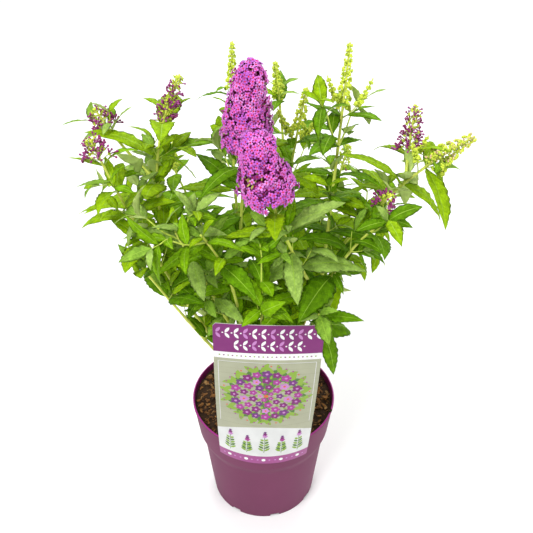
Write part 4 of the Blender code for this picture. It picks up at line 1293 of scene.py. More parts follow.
def dressPanicle(florets, buds, row):
    look = panicleLook
    hem = look["hem"][row["key"]]
    chance = random.Random(row["key"] + " florets")
    low, span = look["coreSpan"]
    taper, power = look["coreTaper"]
    steps = look["coreSteps"]
    core = [placeUp(row, low + span * step / steps)[0] for step in range(steps + 1)]
    scales = look["scales"]
    swing = look["swing"]
    scatter = look["scatter"]
    violet, light = look["hues"]
    foot, down = look["foot"]
    head, level, climb = look["head"]
    stray = look["hueStray"]

    def coreRadius(share):
        return panicleRadius(low + span * share) * look["core"] * (1 - taper * share ** power)

    florets.add(*tube(core, coreRadius, look["coreSides"]), 5)
    for depth, steps, sparse in look["layers"]:
        spacing = look["spacing"] * sparse
        rows = round(blossomLength(row) / (spacing * look["rowStep"]))
        for line in range(rows + 1):
            share = line / rows
            middle, ahead = placeUp(row, share * look["rowEnd"])
            radius = panicleRadius(share) * depth
            slope = down if share < foot else level + climb * max(0.0, share - head)
            count = max(3, round(2 * pi * radius * look["fill"] / spacing))
            for number in range(count):
                angle = 2 * pi * (number + 0.5 * (line % 2) + chance.uniform(-swing, swing)) / count
                around = sideAt(ahead, angle, slant)
                tilt = slope + chance.uniform(-look["tilt"], look["tilt"])
                out = (around + ahead * tilt + look["loose"] * randomAim(chance)).normalized()
                place = middle + around * radius
                if share < hem * (1 + look["hemStray"] * noise.noise(place * scales["hem"])):
                    continue
                lump = 1 + look["lump"] * noise.noise(place * scales["lump"])
                reach = radius * lump * chance.uniform(*look["reach"])
                spot = middle + around * reach + ahead * chance.uniform(-scatter, scatter)
                bare = noise.noise(place * scales["bare"] + Vector((3.1, 0.0, 0.0))) < look["bare"]
                if share > look["open"] or chance.random() < look["closedShare"][bare]:
                    kind = chance.choice((0, 1, 2, 2)) if bare else chance.choice((0, 1))
                    budAt(buds, spot - out * look["budSunk"][bare], out, *look["bud"], kind)
                    continue
                size = look["floret"] * chance.uniform(*look["size"]) * (1.0 - look["sizeFall"] * share)
                hue = noise.noise(place * scales["hue"]) + chance.uniform(-stray, stray)
                # florets of the inner layer take the darkest petal colour: painted shade deep in the panicle
                tint = 3 if depth < 1 else 1 if hue < violet else 2 if hue > light else 0
                floretAt(florets, spot, out, chance.uniform(0, 1.57), size, tint, steps)
    top, ahead = placeUp(row, look["crestFrom"])
    for number in range(look["crest"]):  # open flowers fan out over the tip
        part = sqrt((number + 0.5) / look["crest"])
        around = sideAt(ahead, number * look["crestTurn"], slant)
        lean = around * part * look["crestLean"]
        out = (ahead + lean + look["crestLoose"] * randomAim(chance)).normalized()
        rise = look["crestRise"] * ((1 - part * part) * chance.uniform(0.3, 1.3) + chance.uniform(-0.3, 0.3))
        reach = part * panicleRadius(look["crestFrom"]) * look["crestReach"]
        floretAt(florets, top + around * reach + ahead * rise, out, chance.uniform(0, 1.57),
                 look["floret"] * look["crestSize"], chance.choice((0, 0, 1, 2)), 16)


# stems, shoots and twigs

barkLook = dict(
    sides=16,
    steps=64,
    ridge=0.00022,  # relief of the bark, before it fades up the stem
    ridgeScale=420.0,
    lump=0.00035,
    lumpScale=90.0,
    lengthStretch=0.16,
    girth=0.004,  # how far apart the sides of a stem lie in the noise
    lumpGirth=2.0,
    fade=(0.20, 0.20, 0.5),  # height where the relief begins to fade, over how much, and by what share
    inside=0.35,  # of the way from the crown's middle to a stem's foot, where the bark begins
    knots=(0.34, 0.52, 0.66, 0.82),
    knot=(0.012, 0.20),  # half width along the stem, and height as a share of the radius
    flare=(0.35, 0.07),
)


def barkRelief(point, out):
    look = barkLook
    start, over, part = look["fade"]
    place = point + out * look["girth"]
    place.z = point.z * look["lengthStretch"]
    rough = noise.noise(place * look["ridgeScale"])
    lump = noise.noise(point * look["lumpScale"] + out * look["lumpGirth"])
    fade = 1.0 - part * min(1.0, max(0.0, (point.z - start) / over))
    return (rough * look["ridge"] + lump * look["lump"]) * fade


def knotted(radii, knots, width, height, flare=0.0, flareEnd=1.0):
    # the radius along a stem: even taper, a swelling at each knot, and a flare at the foot
    def thick(share):
        swell = sum(exp(-((share - knot) / width) ** 2) for knot in knots)
        return blend(*radii, share) * (1 + height * swell + flare * max(0.0, 1 - share / flareEnd) ** 2)

    return thick


def dressStems(routes):
    woody = Heap()
    for name, row in stemRows.items():
        middle = crownPoint(min(row["height"], 0.95))
        path = bow(routes[name][0], row["bend"], row["tip"], barkLook["steps"])
        path.insert(0, middle + (path[0] - middle) * barkLook["inside"])
        thick = knotted(row["radii"], barkLook["knots"], *barkLook["knot"], *barkLook["flare"])
        woody.add(*tube(path, thick, barkLook["sides"], relief=barkRelief))
    points = []
    sides = crownForm["sides"]
    steps = crownForm["steps"]
    for step in range(steps + 1):  # the crown of the root
        share = step / steps
        for angle in circle(sides):
            out = Vector((cos(angle), sin(angle), 0.0))
            radius = readOff(crownForm["radii"], share)
            for relief, beside, upward, least in crownForm["rough"]:
                place = Vector((out.x * beside, out.y * beside, share * upward))
                radius += relief * noise.noise(place) * blend(least, 1.0, share)
            points.append(crownPoint(share) + out * radius)
    woody.add(points, walls(steps + 1, sides))
    return woody


shootLook = dict(
    steps=44,
    sides=8,
    knot=(0.011, 0.30),
    twigSteps=5,
    twigSides=6,
    inside=0.2,
    flowered=4,  # steps at the tip of a panicle's shoot that are all in flower, without a stalk
)


def dressShoots():
    look = shootLook
    green = Heap()
    for shoot in plant["shoots"]:
        row = shoot["row"]
        path = bow(shoot["route"][0], row["bend"], row["tip"], look["steps"])
        path.insert(0, shoot["foot"] + (path[0] - shoot["foot"]) * look["inside"])
        if row["end"] == "panicle":
            path = path[:-look["flowered"]]
        thick = knotted(twigForm["shootRadii"], shoot["nodes"], *look["knot"])
        green.add(*tube(path, thick, look["sides"]))
    for row in plant["twigs"]:
        steps = look["twigSteps"]
        path = [placeOn(row["route"], step / steps)[0] for step in range(steps + 1)]
        green.add(*tube(path, row["radii"], look["twigSides"]), 1)
    return green


# foliage: the leaves of a shoot share a green, apart from young ones and a few odd ones

leafTints = dict(
    shares=(0, 0, 0, 1, 1, 1, 2, 3),
    odd=(0, 1, 2),
    oddShare=0.25,
    young=(0, 0, 1, 3, 4, 4),
    heaps=3,
)


def dressLeaves():
    heaps = [Heap() for number in range(leafTints["heaps"])]
    for number, leaf in enumerate(plant["leaves"]):
        chance = random.Random(leaf["key"] + " tint")
        tint = random.Random(leaf["spray"] + leaf["key"][:18]).choice(leafTints["shares"])
        if leaf.get("young"):
            tint = chance.choice(leafTints["young"])
        elif chance.random() < leafTints["oddShare"]:
            tint = chance.choice(leafTints["odd"])
        points, faces, tints = leafMesh(leaf, "big" if leaf["length"] > leafLook["bigFrom"] else "small")
        heap = heaps[number * len(heaps) // len(plant["leaves"])]
        heap.add(points, faces, [tint if part == 0 else 4 + part for part in tints])
    return heaps


# pot: a spun shell with a rolled lip, a collar and notches in its foot

potForm = dict(
    rim=0.095,
    height=0.170,
    lip=0.004,
    lipRound=0.0012,
    lipSteps=6,
    collarTop=0.0942,
    collarFootRadius=0.0886,
    collarFoot=0.1205,
    shoulderRadius=0.0828,
    shoulderFoot=0.1065,
    shoulderSteps=16,
    shoulderEase=0.003,
    base=0.0718,
    wall=0.0016,
    floor=0.0022,
    segments=128,
    notches=8,
    notchTurn=0.28,  # of the way from one notch to the next
    notchWidth=0.013,
    notchHeight=0.0045,
    notchInner=0.061,
    notchOver=0.01,
    sharp=32,  # degrees between faces from which an edge is crisp
)


def potProfile():
    form = potForm
    base = form["base"]
    rim = form["rim"]
    wall = form["wall"]
    height = form["height"]
    collar = form["collarTop"]
    lip = height - form["lip"]
    profile = [(0.0, 0.0), (base - 0.001, 0.0), (base - 0.0003, 0.0003), (base, 0.001),
               (blend(base, form["shoulderRadius"], 0.055), 0.0055 + form["notchHeight"] * 0.25)]
    low = form["shoulderFoot"] - form["shoulderEase"]
    high = form["collarFoot"] + form["shoulderEase"]
    for step in range(form["shoulderSteps"] + 1):  # from the taper into the collar without an edge
        part = step / form["shoulderSteps"]
        level = blend(low, high, part)
        taper = base + (form["shoulderRadius"] - base) * level / form["shoulderFoot"]
        rise = (level - form["collarFoot"]) / (lip - form["collarFoot"])
        above = blend(form["collarFootRadius"], collar, rise)
        swell = part * part * (3 - 2 * part)
        profile.append((blend(taper, above, swell), level))
    profile += [(collar, lip), (rim - 0.0004, lip + 0.0002), (rim, lip + 0.0008)]
    corner = form["lipRound"]
    for step in range(form["lipSteps"] + 1):
        turn = radians(90 * step / form["lipSteps"])
        profile.append((rim - corner + corner * cos(turn), height - corner + corner * sin(turn)))
    return profile + [
        (collar - 0.0008, height), (collar - wall + 0.0003, height - 0.0004),
        (collar - wall, height - 0.0012), (form["collarFootRadius"] - wall, form["collarFoot"]),
        (form["shoulderRadius"] - wall, form["shoulderFoot"]), (base - wall, form["floor"]),
        (0.0, form["floor"])]


def innerRadius(height):
    form = potForm
    side = ((form["shoulderFoot"], form["shoulderRadius"]), (form["collarFoot"], form["collarFootRadius"]),
            (form["height"] - form["lip"], form["collarTop"]))
    return readOff(side, height) - form["wall"]


def meshOf(body, name):
    mesh = bpy.data.meshes.new(name)
    body.to_mesh(mesh)
    body.free()
    return mesh


def makePot(materials):
    form = potForm
    body = bmesh.new()
    spots = [body.verts.new((radius, 0.0, height)) for radius, height in potProfile()]
    edges = [body.edges.new(pair) for pair in zip(spots, spots[1:])]
    bmesh.ops.spin(body, geom=spots + edges, axis=(0, 0, 1), cent=(0, 0, 0), angle=2 * pi,
                   steps=form["segments"], use_merge=True)
    bmesh.ops.remove_doubles(body, verts=body.verts, dist=1e-6)
    bmesh.ops.recalc_face_normals(body, faces=body.faces)
    mesh = meshOf(body, "nurseryPot")
    for made in materials:
        mesh.materials.append(made)
    pot = addToScene("nurseryPot", mesh)
    cuts = bmesh.new()
    reach = form["base"] + form["notchOver"] - form["notchInner"]
    place = Matrix.Translation((form["notchInner"] + reach / 2, 0, 0))
    size = Matrix.Diagonal((reach, form["notchWidth"], 2 * form["notchHeight"], 1))
    for angle in circle(form["notches"], form["notchTurn"]):
        bmesh.ops.create_cube(cuts, size=1.0, matrix=Matrix.Rotation(angle, 4, "Z") @ place @ size)
    cutter = addToScene("notchCutter", meshOf(cuts, "notchCutter"))
    notch = pot.modifiers.new("notches", "BOOLEAN")
    notch.operation = "DIFFERENCE"
    notch.object = cutter
    graph = bpy.context.evaluated_depsgraph_get()
    final = bpy.data.meshes.new_from_object(pot.evaluated_get(graph))
    pot.modifiers.clear()
    pot.data = final
    bpy.data.objects.remove(cutter)
    # the upward faces of the lip take a brighter colour as painted highlight, the inside wall and floor a
    # darker one as painted shade
    for face in final.polygons:  # 0 outside, 1 lip, 2 inside
        outward = Vector((face.center.x, face.center.y, 0.0)).normalized()
        inward = face.normal.dot(outward) < -0.4 and face.center.z > form["notchHeight"]
        if inward or (face.normal.z > 0.5 and face.center.z < 2 * form["floor"]):
            face.material_index = 2
        elif face.center.z > form["height"] - form["lip"] and face.normal.z > 0.25:
            face.material_index = 1
    final.polygons.foreach_set("use_smooth", [True] * len(final.polygons))
    final.set_sharp_from_angle(angle=radians(form["sharp"]))
    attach(pot, "root")
    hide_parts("pot")
    print("nurseryPot", len(final.polygons), "faces")


# compost: a lumpy bed, and bark chips strewn on it

compostForm = dict(
    level=0.1615,
    foot=0.120,
    room=(0.0003, 0.0004),  # off the wall at the top and at the foot
    rings=30,
    segments=120,
    lumps=((130, 0.3, 0.00208), (340, 1.7, 0.001248)),  # scale, place in the noise, height
    chips=1700,
    chipSides=6,
    chipShort=(0.5, 1.0),
    chipRise=(0.0, 1.1),
    chipInset=0.55,  # of its length, that a chip keeps off the wall
    chipRough=(0.70, 1.08),
    chipLength=(0.003, 0.013),
    chipWide=(0.22, 0.62),
    chipFlat=(0.30, 0.55),
    chipLean=0.32,
    chipTints=(0, 0, 0, 1, 1, 1, 2, 2, 3),
    crownRoom=0.019,
    tongueRoom=(0.022, -0.078),
    rimChip=(0.0878, -0.0330, 0.0055, 0.0040, 0.0022),  # place, then length, width and height
    rimRise=0.55,
)


def compostHeight(x, y):
    lumps = [height * noise.noise(Vector((x * scale, y * scale, place)))
             for scale, place, height in compostForm["lumps"]]
    return compostForm["level"] + sum(lumps)


def bedShell(top):
    form = compostForm
    segments = form["segments"]
    rings = [top * ring / form["rings"] for ring in range(1, form["rings"] + 1)]
    rings.append(innerRadius(form["foot"]) - form["room"][1])
    points = [Vector((0.0, 0.0, compostHeight(0.0, 0.0)))]
    for ring, radius in enumerate(rings):
        for angle in circle(segments):
            x = radius * cos(angle)
            y = radius * sin(angle)
            points.append(Vector((x, y, compostHeight(x, y) if ring < form["rings"] else form["foot"])))
    last = len(points) - segments
    middle = [(0, 1 + corner, 1 + (corner + 1) % segments) for corner in range(segments)]
    sides = walls(len(rings), segments, first=1, capped=False)
    return points, middle + sides + [tuple(range(last, last + segments))]


def makeCompost(materials):
    form = compostForm
    top = innerRadius(form["level"]) - form["room"][0]
    bed = Heap()
    bed.add(*bedShell(top))
    bed.piece("compostBed", materials[:1], "bark_compost", ["compost"])
    chips = Heap()
    chance = random.Random("bark chips")
    for number in range(form["chips"] + 1):
        long = chance.uniform(*form["chipLength"]) * chance.uniform(*form["chipShort"])
        wide = long * chance.uniform(*form["chipWide"])
        flat = wide * chance.uniform(*form["chipFlat"])
        angle = chance.uniform(0, 6.28)
        radius = (top - long * form["chipInset"]) * sqrt(chance.random())
        x = radius * cos(angle)
        y = radius * sin(angle)
        z = compostHeight(x, y) + flat * chance.uniform(*form["chipRise"])
        lean = Matrix.Rotation(chance.gauss(0, form["chipLean"]), 3, "X")
        lean = lean @ Matrix.Rotation(chance.gauss(0, form["chipLean"]), 3, "Y")
        if number == form["chips"]:  # one chip lies on the rim
            x, y, long, wide, flat = form["rimChip"]
            z = potForm["height"] + flat * form["rimRise"]
            lean = Matrix.Identity(3)
        beside, front = form["tongueRoom"]
        if hypot(x, y) < form["crownRoom"] or (abs(x) < beside and y < front):
            continue
        turn = Matrix.Rotation(chance.uniform(0, 6.28), 3, "Z") @ lean
        points = []
        for up in (-1, 1):
            for spin in circle(form["chipSides"]):
                corner = Vector((cos(spin) * long / 2, sin(spin) * wide / 2, up * flat / 2))
                corner *= chance.uniform(*form["chipRough"])
                points.append(turn @ corner + Vector((x, y, z)))
        chips.add(points, walls(2, form["chipSides"]), chance.choice(form["chipTints"]))
    chips.piece("barkChips", materials, "bark_compost", smooth=False)


# label: a bent card with a tongue, printed with leaf pairs, a round of blossoms, sprigs and dots

cardLook = dict(
    columns=40,
    rows=60,
    corner=0.0045,
    printLift=0.00010,
    tongueWidth=0.036,
    tongueBend=0.088,
    tongueColumns=12,
    tongueRoute=((-0.0982, 0.1880), (-0.0957, 0.1800), (-0.0930, 0.1745), (-0.0914, 0.1690),
                 (-0.0868, 0.1300)),
)

cardHeight = labelForm["top"] - labelForm["foot"]

# where the bands of the print begin, as shares of the card's height
printFrom = dict(footer=0.0, pale=0.062, panel=0.30, strip=0.785, header=0.825)


def cardPoint(across, level, depth):
    form = labelForm
    bend = 1 / ((1 - level) ** 1.5 / form["footBend"] + level / form["topBend"])
    angle = across / bend
    y = blend(form["footY"], form["topY"], level) + bend - (bend - depth) * cos(angle)
    spot = Vector(((bend - depth) * sin(angle), 0.0, cardHeight * level))
    spot = Matrix.Rotation(form["roll"], 3, "Y") @ spot
    return Vector((spot.x, y, form["foot"] + spot.z))


def cardTop(across):
    corner = cardLook["corner"]
    into = max(0.0, abs(across) - (labelForm["width"] / 2 - corner))
    return 1 - (corner - sqrt(max(0.0, corner * corner - into * into))) / cardHeight


def gridFaces(rows, columns):
    wide = columns + 1
    return [(near, near + 1, near + wide + 1, near + wide)
            for row in range(rows) for near in range(row * wide, row * wide + columns)]


def cardShell():
    columns = cardLook["columns"]
    rows = cardLook["rows"]
    points = []
    for depth in (0.0, labelForm["thick"]):
        for row in range(rows + 1):
            for column in range(columns + 1):
                across = labelForm["width"] * (column / columns - 0.5)
                points.append(cardPoint(across, cardTop(across) * row / rows, depth))
    wide = columns + 1
    back = wide * (rows + 1)
    faces = gridFaces(rows, columns)
    faces += [tuple(back + corner for corner in reversed(face)) for face in faces]
    rim = list(range(wide))
    rim += [row * wide + columns for row in range(1, rows + 1)]
    rim += [rows * wide + column for column in range(columns - 1, -1, -1)]
    rim += [row * wide for row in range(rows - 1, 0, -1)]
    faces += [(spot, back + spot, back + after, after) for spot, after in zip(rim, rim[1:] + rim[:1])]
    return points, faces


def tongueShell():
    count = cardLook["tongueColumns"]
    route = [Vector((0.0, y, z)) for y, z in cardLook["tongueRoute"]]
    columns = [cardLook["tongueWidth"] / 2 * (2 * column / count - 1) for column in range(count + 1)]
    around = [(x, 1) for x in columns] + [(x, -1) for x in reversed(columns)]
    points = []
    for index, spot in enumerate(route):
        ahead = (route[min(index + 1, len(route) - 1)] - route[max(index - 1, 0)]).normalized()
        out = Vector((0.0, -ahead.z, ahead.y)) * labelForm["thick"] / 2
        for x, side in around:
            points.append(spot + Vector((x, x * x / (2 * cardLook["tongueBend"]), 0.0)) + out * side)
    return points, walls(len(route), len(around))


# print: metres across and up from the middle of the card's foot, and lifts counted in printLift

def printPoint(x, y, lift):
    return cardPoint(x, y / cardHeight, -cardLook["printLift"] * lift)


def printBand(ink, low, high, tint, lift=1.0, rows=16):
    # from one level to another, each a number or a function of the place across
    columns = cardLook["columns"]
    edges = [edge if callable(edge) else lambda across, level=edge: level for edge in (low, high)]
    points = []
    for row in range(rows + 1):
        for column in range(columns + 1):
            across = labelForm["width"] / 2 * (2 * column / columns - 1)
            start, end = (edge(across) for edge in edges)
            level = min(start + (end - start) * row / rows, cardTop(across))
            points.append(cardPoint(across, level, -cardLook["printLift"] * lift))
    ink.add(points, gridFaces(rows, columns), tint)


def printShape(ink, outline, middle, tint, lift):
    points = [printPoint(middle[0] + x, middle[1] + y, lift) for x, y in [(0.0, 0.0)] + outline]
    count = len(outline)
    ink.add(points, [(0, 1 + step, 1 + (step + 1) % count) for step in range(count)], tint)


def printLeaf(ink, middle, angle, long, wide, tint, lift):
    outline = []
    taper, power = printLook["leafTaper"]
    for turn in circle(printLook["leafSides"]):
        x = long / 2 * cos(turn)
        y = wide / 2 * sin(turn) * (1 - taper * abs(cos(turn)) ** power)
        outline.append((x * cos(angle) - y * sin(angle), x * sin(angle) + y * cos(angle)))
    printShape(ink, outline, middle, tint, lift)


def printRound(ink, middle, radius, tint, lift, petals=0, depth=0.0):
    outline = []
    for turn in circle(printLook["roundSides"][petals > 0]):
        reach = radius * (1 - depth * (1 - abs(cos(petals * turn / 2))))
        outline.append((reach * cos(turn), reach * sin(turn)))
    printShape(ink, outline, middle, tint, lift)


def printStroke(ink, points, tint, lift):
    spots = []
    for index, (x, y) in enumerate(points):
        before = points[max(index - 1, 0)]
        after = points[min(index + 1, len(points) - 1)]
        across = after[0] - before[0]
        up = after[1] - before[1]
        half = printLook["strokeWide"] / 2 / hypot(across, up)
        spots += [printPoint(x - side * up, y + side * across, lift) for side in (half, -half)]
    faces = [(2 * step, 2 * step + 1, 2 * step + 3, 2 * step + 2) for step in range(len(points) - 1)]
    ink.add(spots, faces, tint)


def evenly(count, step):
    return [step * (number - (count - 1) / 2) for number in range(count)]


# tints: 0 violet, 1 white, 2 sage, 3 pale, 4 footer violet, 5 leaf, 6 dark leaf, 7 magenta, 8 lilac,
# 9 warm red, 10 dark sage, 11 deep violet
roundelLook = dict(
    middle=(0.0, 0.1350),
    ground=0.0385,
    leaves=54,
    leafRing=(0.0440, 0.0455),  # across and up
    leafLane=0.0035,
    leafLean=0.55,
    leafSize=(0.0165, 0.0062),
    rings=((20, 0.0370, 0.0385, 0.0064, (7, 0, 11)), (14, 0.0262, 0.0272, 0.0060, (0, 8, 7)),
           (9, 0.0158, 0.0164, 0.0056, (11, 7, 0)), (5, 0.0068, 0.0070, 0.0042, (7, 7, 8))),
    gapLeaf=(0.0060, 0.0026),
    gapInset=0.0052,
    heart=0.0030,
    berries=36,
    berryRing=(0.0505, 0.0520),
    berry=0.0011,
    small=0.86,  # size of every other blossom
    lift=dict(leaf=2, ground=2.5, berry=2.6, gapLeaf=2.7, blossom=2.8, eye=3.2, heart=3.3),
    cleft=0.38,
    eye=0.26,
)

printLook = dict(
    stripes=13,
    stripeWide=0.0028,
    headerRows=((12, 0.0088, 0.0098), (8, -0.0098, 0.0098)),  # pairs, height from the middle, step
    headerLeaf=(0.0090, 0.0037),
    headerLean=1.05,
    headerGap=0.0041,
    stripeShares=(0.34, 0.20),
    stripeFoot=0.012,
    paleBow=0.06,
    frameInset=0.0050,
    strokeWide=0.0007,
    leafSides=14,
    leafTaper=(0.55, 3),
    roundSides=(16, 36),  # of a dot, and of a blossom
    stripDots=(23, 0.0048),
    dot=0.0010,
    sprigs=(5, 0.0215),
    sprigHeights=(0.0345, 0.0270),
    sprigTints=((8, 0, 11), (7, 0, 11)),
    sprigFoot=(0.082, 0.012),
    sprigLean=0.75,
    sprigSway=0.0007,
    sprigLeaves=(5, 0.10, 0.15),  # pairs, then where the first is and how far apart they are
    sprigLeaf=(0.0092, 0.0009, 0.0034),  # length, how much shorter each pair is, width
    sprigPetal=(0.0036, 0.0008),
    footerDots=(15, 0.0074),
    footerHeight=0.031,
    footerRounds=((0.0013, 8), (0.0026, 1), (0.0013, 8)),
)


def printRoundel(ink):
    # rings of small blossoms with leaves round them
    look = roundelLook
    chance = random.Random("roundel")
    middle = look["middle"]
    lift = look["lift"]

    def placed(turn, across, up, more=0.0):
        return middle[0] + (across + more) * cos(turn), middle[1] + (up + more) * sin(turn)

    for number, turn in enumerate(circle(look["leaves"])):
        place = placed(turn, *look["leafRing"], (number % 3 - 1) * look["leafLane"])
        angle = turn + (look["leafLean"] if number % 2 else -look["leafLean"]) + chance.uniform(-0.2, 0.2)
        long, wide = look["leafSize"]
        long *= chance.uniform(0.8, 1.1)
        tint = 5 if number % 3 else 6
        printLeaf(ink, place, angle, long, wide, tint, lift["leaf"] + 0.1 * (number % 3))
    printRound(ink, middle, look["ground"], 6, lift["ground"])
    for number, turn in enumerate(circle(look["berries"], 0.5)):
        tint = 7 if number % 4 else 9
        printRound(ink, placed(turn, *look["berryRing"]), look["berry"], tint, lift["berry"])
    for layer, (count, across, up, size, tints) in enumerate(look["rings"]):
        for number, turn in enumerate(circle(count, 0.5 * (layer % 2))):
            place = placed(turn, across, up)
            tint = tints[number % len(tints)]
            reach = size * (1.0 if number % 2 else look["small"])
            above = lift["blossom"] + 0.1 * (number % 2)
            printRound(ink, place, reach, tint, above, petals=5, depth=look["cleft"])
            printRound(ink, place, reach * look["eye"], 9 if tint == 8 else 8, lift["eye"])
            if layer < 3:  # a leaf shows between neighbours
                between = turn + pi / count
                spot = placed(between, across, up, -look["gapInset"])
                printLeaf(ink, spot, between, *look["gapLeaf"], 5, lift["gapLeaf"])
    printRound(ink, middle, look["heart"], 9, lift["heart"], petals=6, depth=0.3)


def printSprig(ink, x, foot, tall, tints):
    look = printLook
    lean = look["sprigLean"]
    stem = [(x + look["sprigSway"] * sin(3.0 * step / 8), foot + tall * step / 8) for step in range(9)]
    printStroke(ink, stem, 6, 1.9)
    pairs, first, apart = look["sprigLeaves"]
    longest, less, wide = look["sprigLeaf"]
    for step in range(pairs):
        y = foot + tall * (first + apart * step)
        long = longest - less * step
        for side in (1, -1):
            place = (x + side * (0.0006 + cos(lean) * long / 2), y + sin(lean) * long / 2)
            printLeaf(ink, place, lean if side > 0 else pi - lean, long, wide, (5, 6)[step % 2], 2.0)
    reach, less = look["sprigPetal"]
    for petal, tint in enumerate(tints):  # a little spire of blossoms
        place = (x + look["sprigSway"], foot + tall + reach * petal)
        printRound(ink, place, reach - less * petal, tint, 2.4 + 0.2 * petal, petals=5, depth=0.4)


def printCard():
    ink = Heap()
    look = printLook
    panel = printFrom["panel"]
    strip = printFrom["strip"]
    header = printFrom["header"]

    def paleTop(across):
        return panel - look["paleBow"] * (2 * across / labelForm["width"]) ** 2

    printBand(ink, printFrom["footer"], printFrom["pale"], 4, rows=8)
    printBand(ink, printFrom["pale"], paleTop, 3)
    printBand(ink, paleTop, strip, 2, rows=30)
    printBand(ink, strip, header, 1, rows=4)
    printBand(ink, header, 1.0, 0)
    for number in range(look["stripes"]):
        low = panel + look["stripeFoot"] + (strip - panel) * number / look["stripes"]
        thick = look["stripeWide"] * look["stripeShares"][number % 2]
        printBand(ink, low, low + thick, 10, lift=1.4, rows=1)
    printRoundel(ink)
    for line, (pairs, rise, step) in enumerate(look["headerRows"]):
        y = cardHeight * (header + 1) / 2 + rise
        for number, x in enumerate(evenly(pairs, step)):
            for side in (1, -1):
                tint = 1 if (number + line) % 3 else 8
                place = (x, y + side * look["headerGap"])
                printLeaf(ink, place, side * look["headerLean"], *look["headerLeaf"], tint, 2.0)
            printRound(ink, (x + step / 2, y), look["dot"], 1, 2.0)
    for number, x in enumerate(evenly(*look["stripDots"])):  # small dots on the white strip
        printRound(ink, (x, cardHeight * (strip + header) / 2), look["dot"], 0 if number % 2 else 5, 2.0)
    side = labelForm["width"] / 2 - look["frameInset"]
    low = cardHeight * panel + 0.004
    high = cardHeight * strip - look["frameInset"]
    for start, end, steps in (((-side, low), (-side, high), 20), ((side, low), (side, high), 20),
                              ((-side, high), (side, high), 24)):  # a fine frame round the panel
        line = [[blend(*pair, step / steps) for pair in zip(start, end)] for step in range(steps + 1)]
        printStroke(ink, line, 3, 1.6)
    near, more = look["sprigFoot"]
    for number, x in enumerate(evenly(*look["sprigs"])):
        foot = cardHeight * (near + more * (1 - abs(number - 2) / 2))
        printSprig(ink, x, foot, look["sprigHeights"][number % 2], look["sprigTints"][number % 2])
    for number, x in enumerate(evenly(*look["footerDots"])):
        printRound(ink, (x, cardHeight * look["footerHeight"]), *look["footerRounds"][number % 3], 2.0)
    return ink


# colours of the finishes

goodsColours = dict(
    # one plastic throughout: the brighter lip colour is a painted highlight on the top of the rim, the darker
    # inside colour is painted shade in the pot
    pot=dict(potPlastic=(0.168, 0.042, 0.096), potLipPaintedHighlight=(0.330, 0.025, 0.220),
             potInsidePaintedShade=(0.110, 0.006, 0.060)),
    bark=dict(compostDark=(0.030, 0.015, 0.007), barkBrown=(0.125, 0.055, 0.018),
              barkRed=(0.190, 0.083, 0.024), barkPale=(0.235, 0.130, 0.050)),
    ink=dict(inkViolet=(0.180, 0.005, 0.138), inkWhite=(0.800, 0.800, 0.800),
             inkSage=(0.360, 0.370, 0.255), inkPale=(0.640, 0.650, 0.640),
             inkFooter=(0.310, 0.055, 0.220), inkLeaf=(0.220, 0.370, 0.030),
             inkDarkLeaf=(0.070, 0.170, 0.025), inkMagenta=(0.330, 0.025, 0.240),
             inkLilac=(0.500, 0.200, 0.500), inkRed=(0.620, 0.120, 0.030),
             inkDarkSage=(0.230, 0.240, 0.155), inkDeep=(0.140, 0.016, 0.170)),
)

plantColours = dict(
    leaf=dict(leafGreen0=(0.248, 0.428, 0.004), leafGreen1=(0.172, 0.360, 0.003),
              leafGreen2=(0.108, 0.252, 0.003), leafGreen3=(0.274, 0.428, 0.085),
              leafGreen4=(0.215, 0.390, 0.040)),
    bud=dict(budLime=(0.620, 0.720, 0.060), budGreen=(0.430, 0.560, 0.045), budBlush=(0.640, 0.460, 0.260)),
    closed=dict(closedViolet=(0.250, 0.020, 0.140), closedLilac=(0.350, 0.070, 0.260),
                cupGreen=(0.400, 0.400, 0.070)),
    # the last petal colour is painted shade, used only for the inner layer of florets
    petal=dict(petalMagenta=(0.630, 0.120, 0.560), petalViolet=(0.460, 0.090, 0.540),
               petalLight=(0.690, 0.230, 0.670), petalPaintedShade=(0.380, 0.030, 0.290)),
)


def makeGoods():
    colours = goodsColours
    plastics = [grainMaterial(name, colour, spread=0.05, patch=14.0, roughness=roughness, grain=1800.0,
                              relief=0.10, depth=0.0001, specular=0.15)
                for (name, colour), roughness in zip(colours["pot"].items(), (0.60, 0.30, 0.50))]
    makePot(plastics)
    makeCompost(grainMaterials(colours["bark"], spread=0.40, patch=420.0, roughness=0.92, grain=1600.0,
                               relief=0.8, depth=0.0006, specular=0.2))
    card = Heap()
    card.add(*cardShell())
    card.add(*tongueShell())
    cardSkin = grainMaterial("cardBack", (0.700, 0.700, 0.690), spread=0.03, patch=30.0, roughness=0.45)
    card.piece("plantLabel", [cardSkin], "label_card", ["label"])
    inks = grainMaterials(colours["ink"], spread=0.06, patch=45.0, roughness=0.42, grain=2200.0, relief=0.06,
                          depth=0.00005)
    printCard().piece("labelPrint", inks, "label_card")


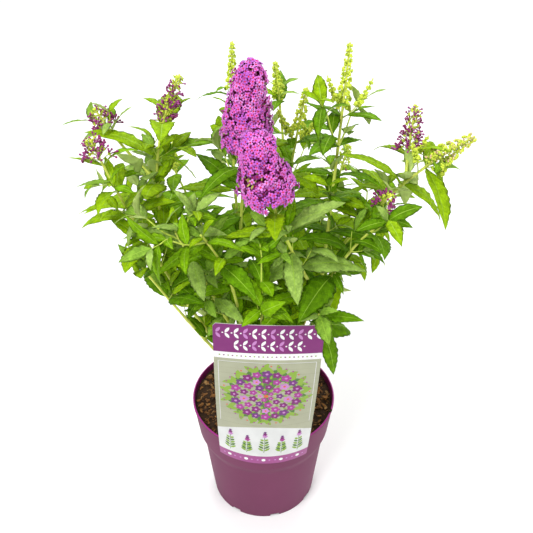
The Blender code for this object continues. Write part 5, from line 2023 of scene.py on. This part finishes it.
def makePlant():
    colours = plantColours
    routes = growPlant()
    growRacemes()
    foliage = [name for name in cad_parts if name.startswith("foliage_")]
    stems = [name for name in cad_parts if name.startswith("stem_")] + ["root_crown"]
    bark = grainMaterial("youngBark", (0.560, 0.590, 0.120), spread=0.35, patch=260.0, roughness=0.75,
                         grain=1400.0, relief=0.5, depth=0.0004, stretch=(1.0, 1.0, 0.22), warm=0.25)
    shootSkin = grainMaterial("greenShoot", (0.640, 0.710, 0.110), spread=0.20, patch=180.0, roughness=0.60,
                              grain=1500.0, relief=0.3, stretch=(1.0, 1.0, 0.25))
    twigSkin = grainMaterial("greenTwig", (0.560, 0.690, 0.090), spread=0.18, patch=220.0, roughness=0.60)
    dressStems(routes).piece("stemBark", [bark], "woody_stem", stems)
    dressShoots().piece("greenShoots", [shootSkin, twigSkin], "leafy_shoot", foliage)
    greens = grainMaterials(colours["leaf"], spread=0.27, patch=150.0, roughness=0.60, grain=900.0,
                            relief=0.80, depth=0.0007, specular=0.06, warm=0.04, quilt=300.0)
    rib = grainMaterial("leafRib", (0.270, 0.450, 0.030), spread=0.10, patch=90.0, roughness=0.6)
    # undersides are paler, and their colour is also made brighter and yellower as a painted glow of light
    # shining through the leaf
    under = grainMaterial("leafUnderside", (0.580, 0.725, 0.220), spread=0.14, patch=110.0, roughness=0.8,
                          grain=1500.0, relief=0.4, specular=0.2)
    for number, heap in enumerate(dressLeaves()):
        heap.piece("leaves%d" % number, greens + [rib, under], "leafy_shoot", foliage)
    budSkins = grainMaterials(colours["bud"], spread=0.18, patch=260.0, roughness=0.6)
    closedSkins = grainMaterials(colours["closed"], spread=0.22, patch=240.0, roughness=0.55)
    petals = grainMaterials(colours["petal"], spread=0.16, patch=300.0, roughness=0.6, grain=1600.0,
                            relief=0.25, sheen=0.2)
    petals.append(grainMaterial("floretEye", (0.560, 0.008, 0.040), spread=0.12, patch=600.0, roughness=0.6))
    petals.append(grainMaterial("floretTube", (0.290, 0.018, 0.115), spread=0.25, patch=300.0,
                                roughness=0.7))
    buds = Heap()
    closed = Heap()
    for row in plant["spikes"]:
        dressSpike(buds, row)
    for row in plant["openings"]:
        dressOpening(buds, closed, row)
    blooms = [Heap() for row in plant["panicles"]]
    for florets, row in zip(blooms, plant["panicles"]):
        dressPanicle(florets, closed, row)
    buds.piece("greenBuds", budSkins, "leafy_shoot")
    closed.piece("closedFlowers", closedSkins, "leafy_shoot")
    for number, florets in enumerate(blooms):
        florets.piece("florets%d" % number, petals, "leafy_shoot")


makeStudio()
print("studio ready")
makeGoods()
print("pot, compost and label ready")
makePlant()
print("plant ready")
sceneLow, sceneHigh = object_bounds()
for title, box in (("cad box", cadHigh - cadLow), ("visual box", sceneHigh - sceneLow)):
    print(title, [round(side, 4) for side in box])
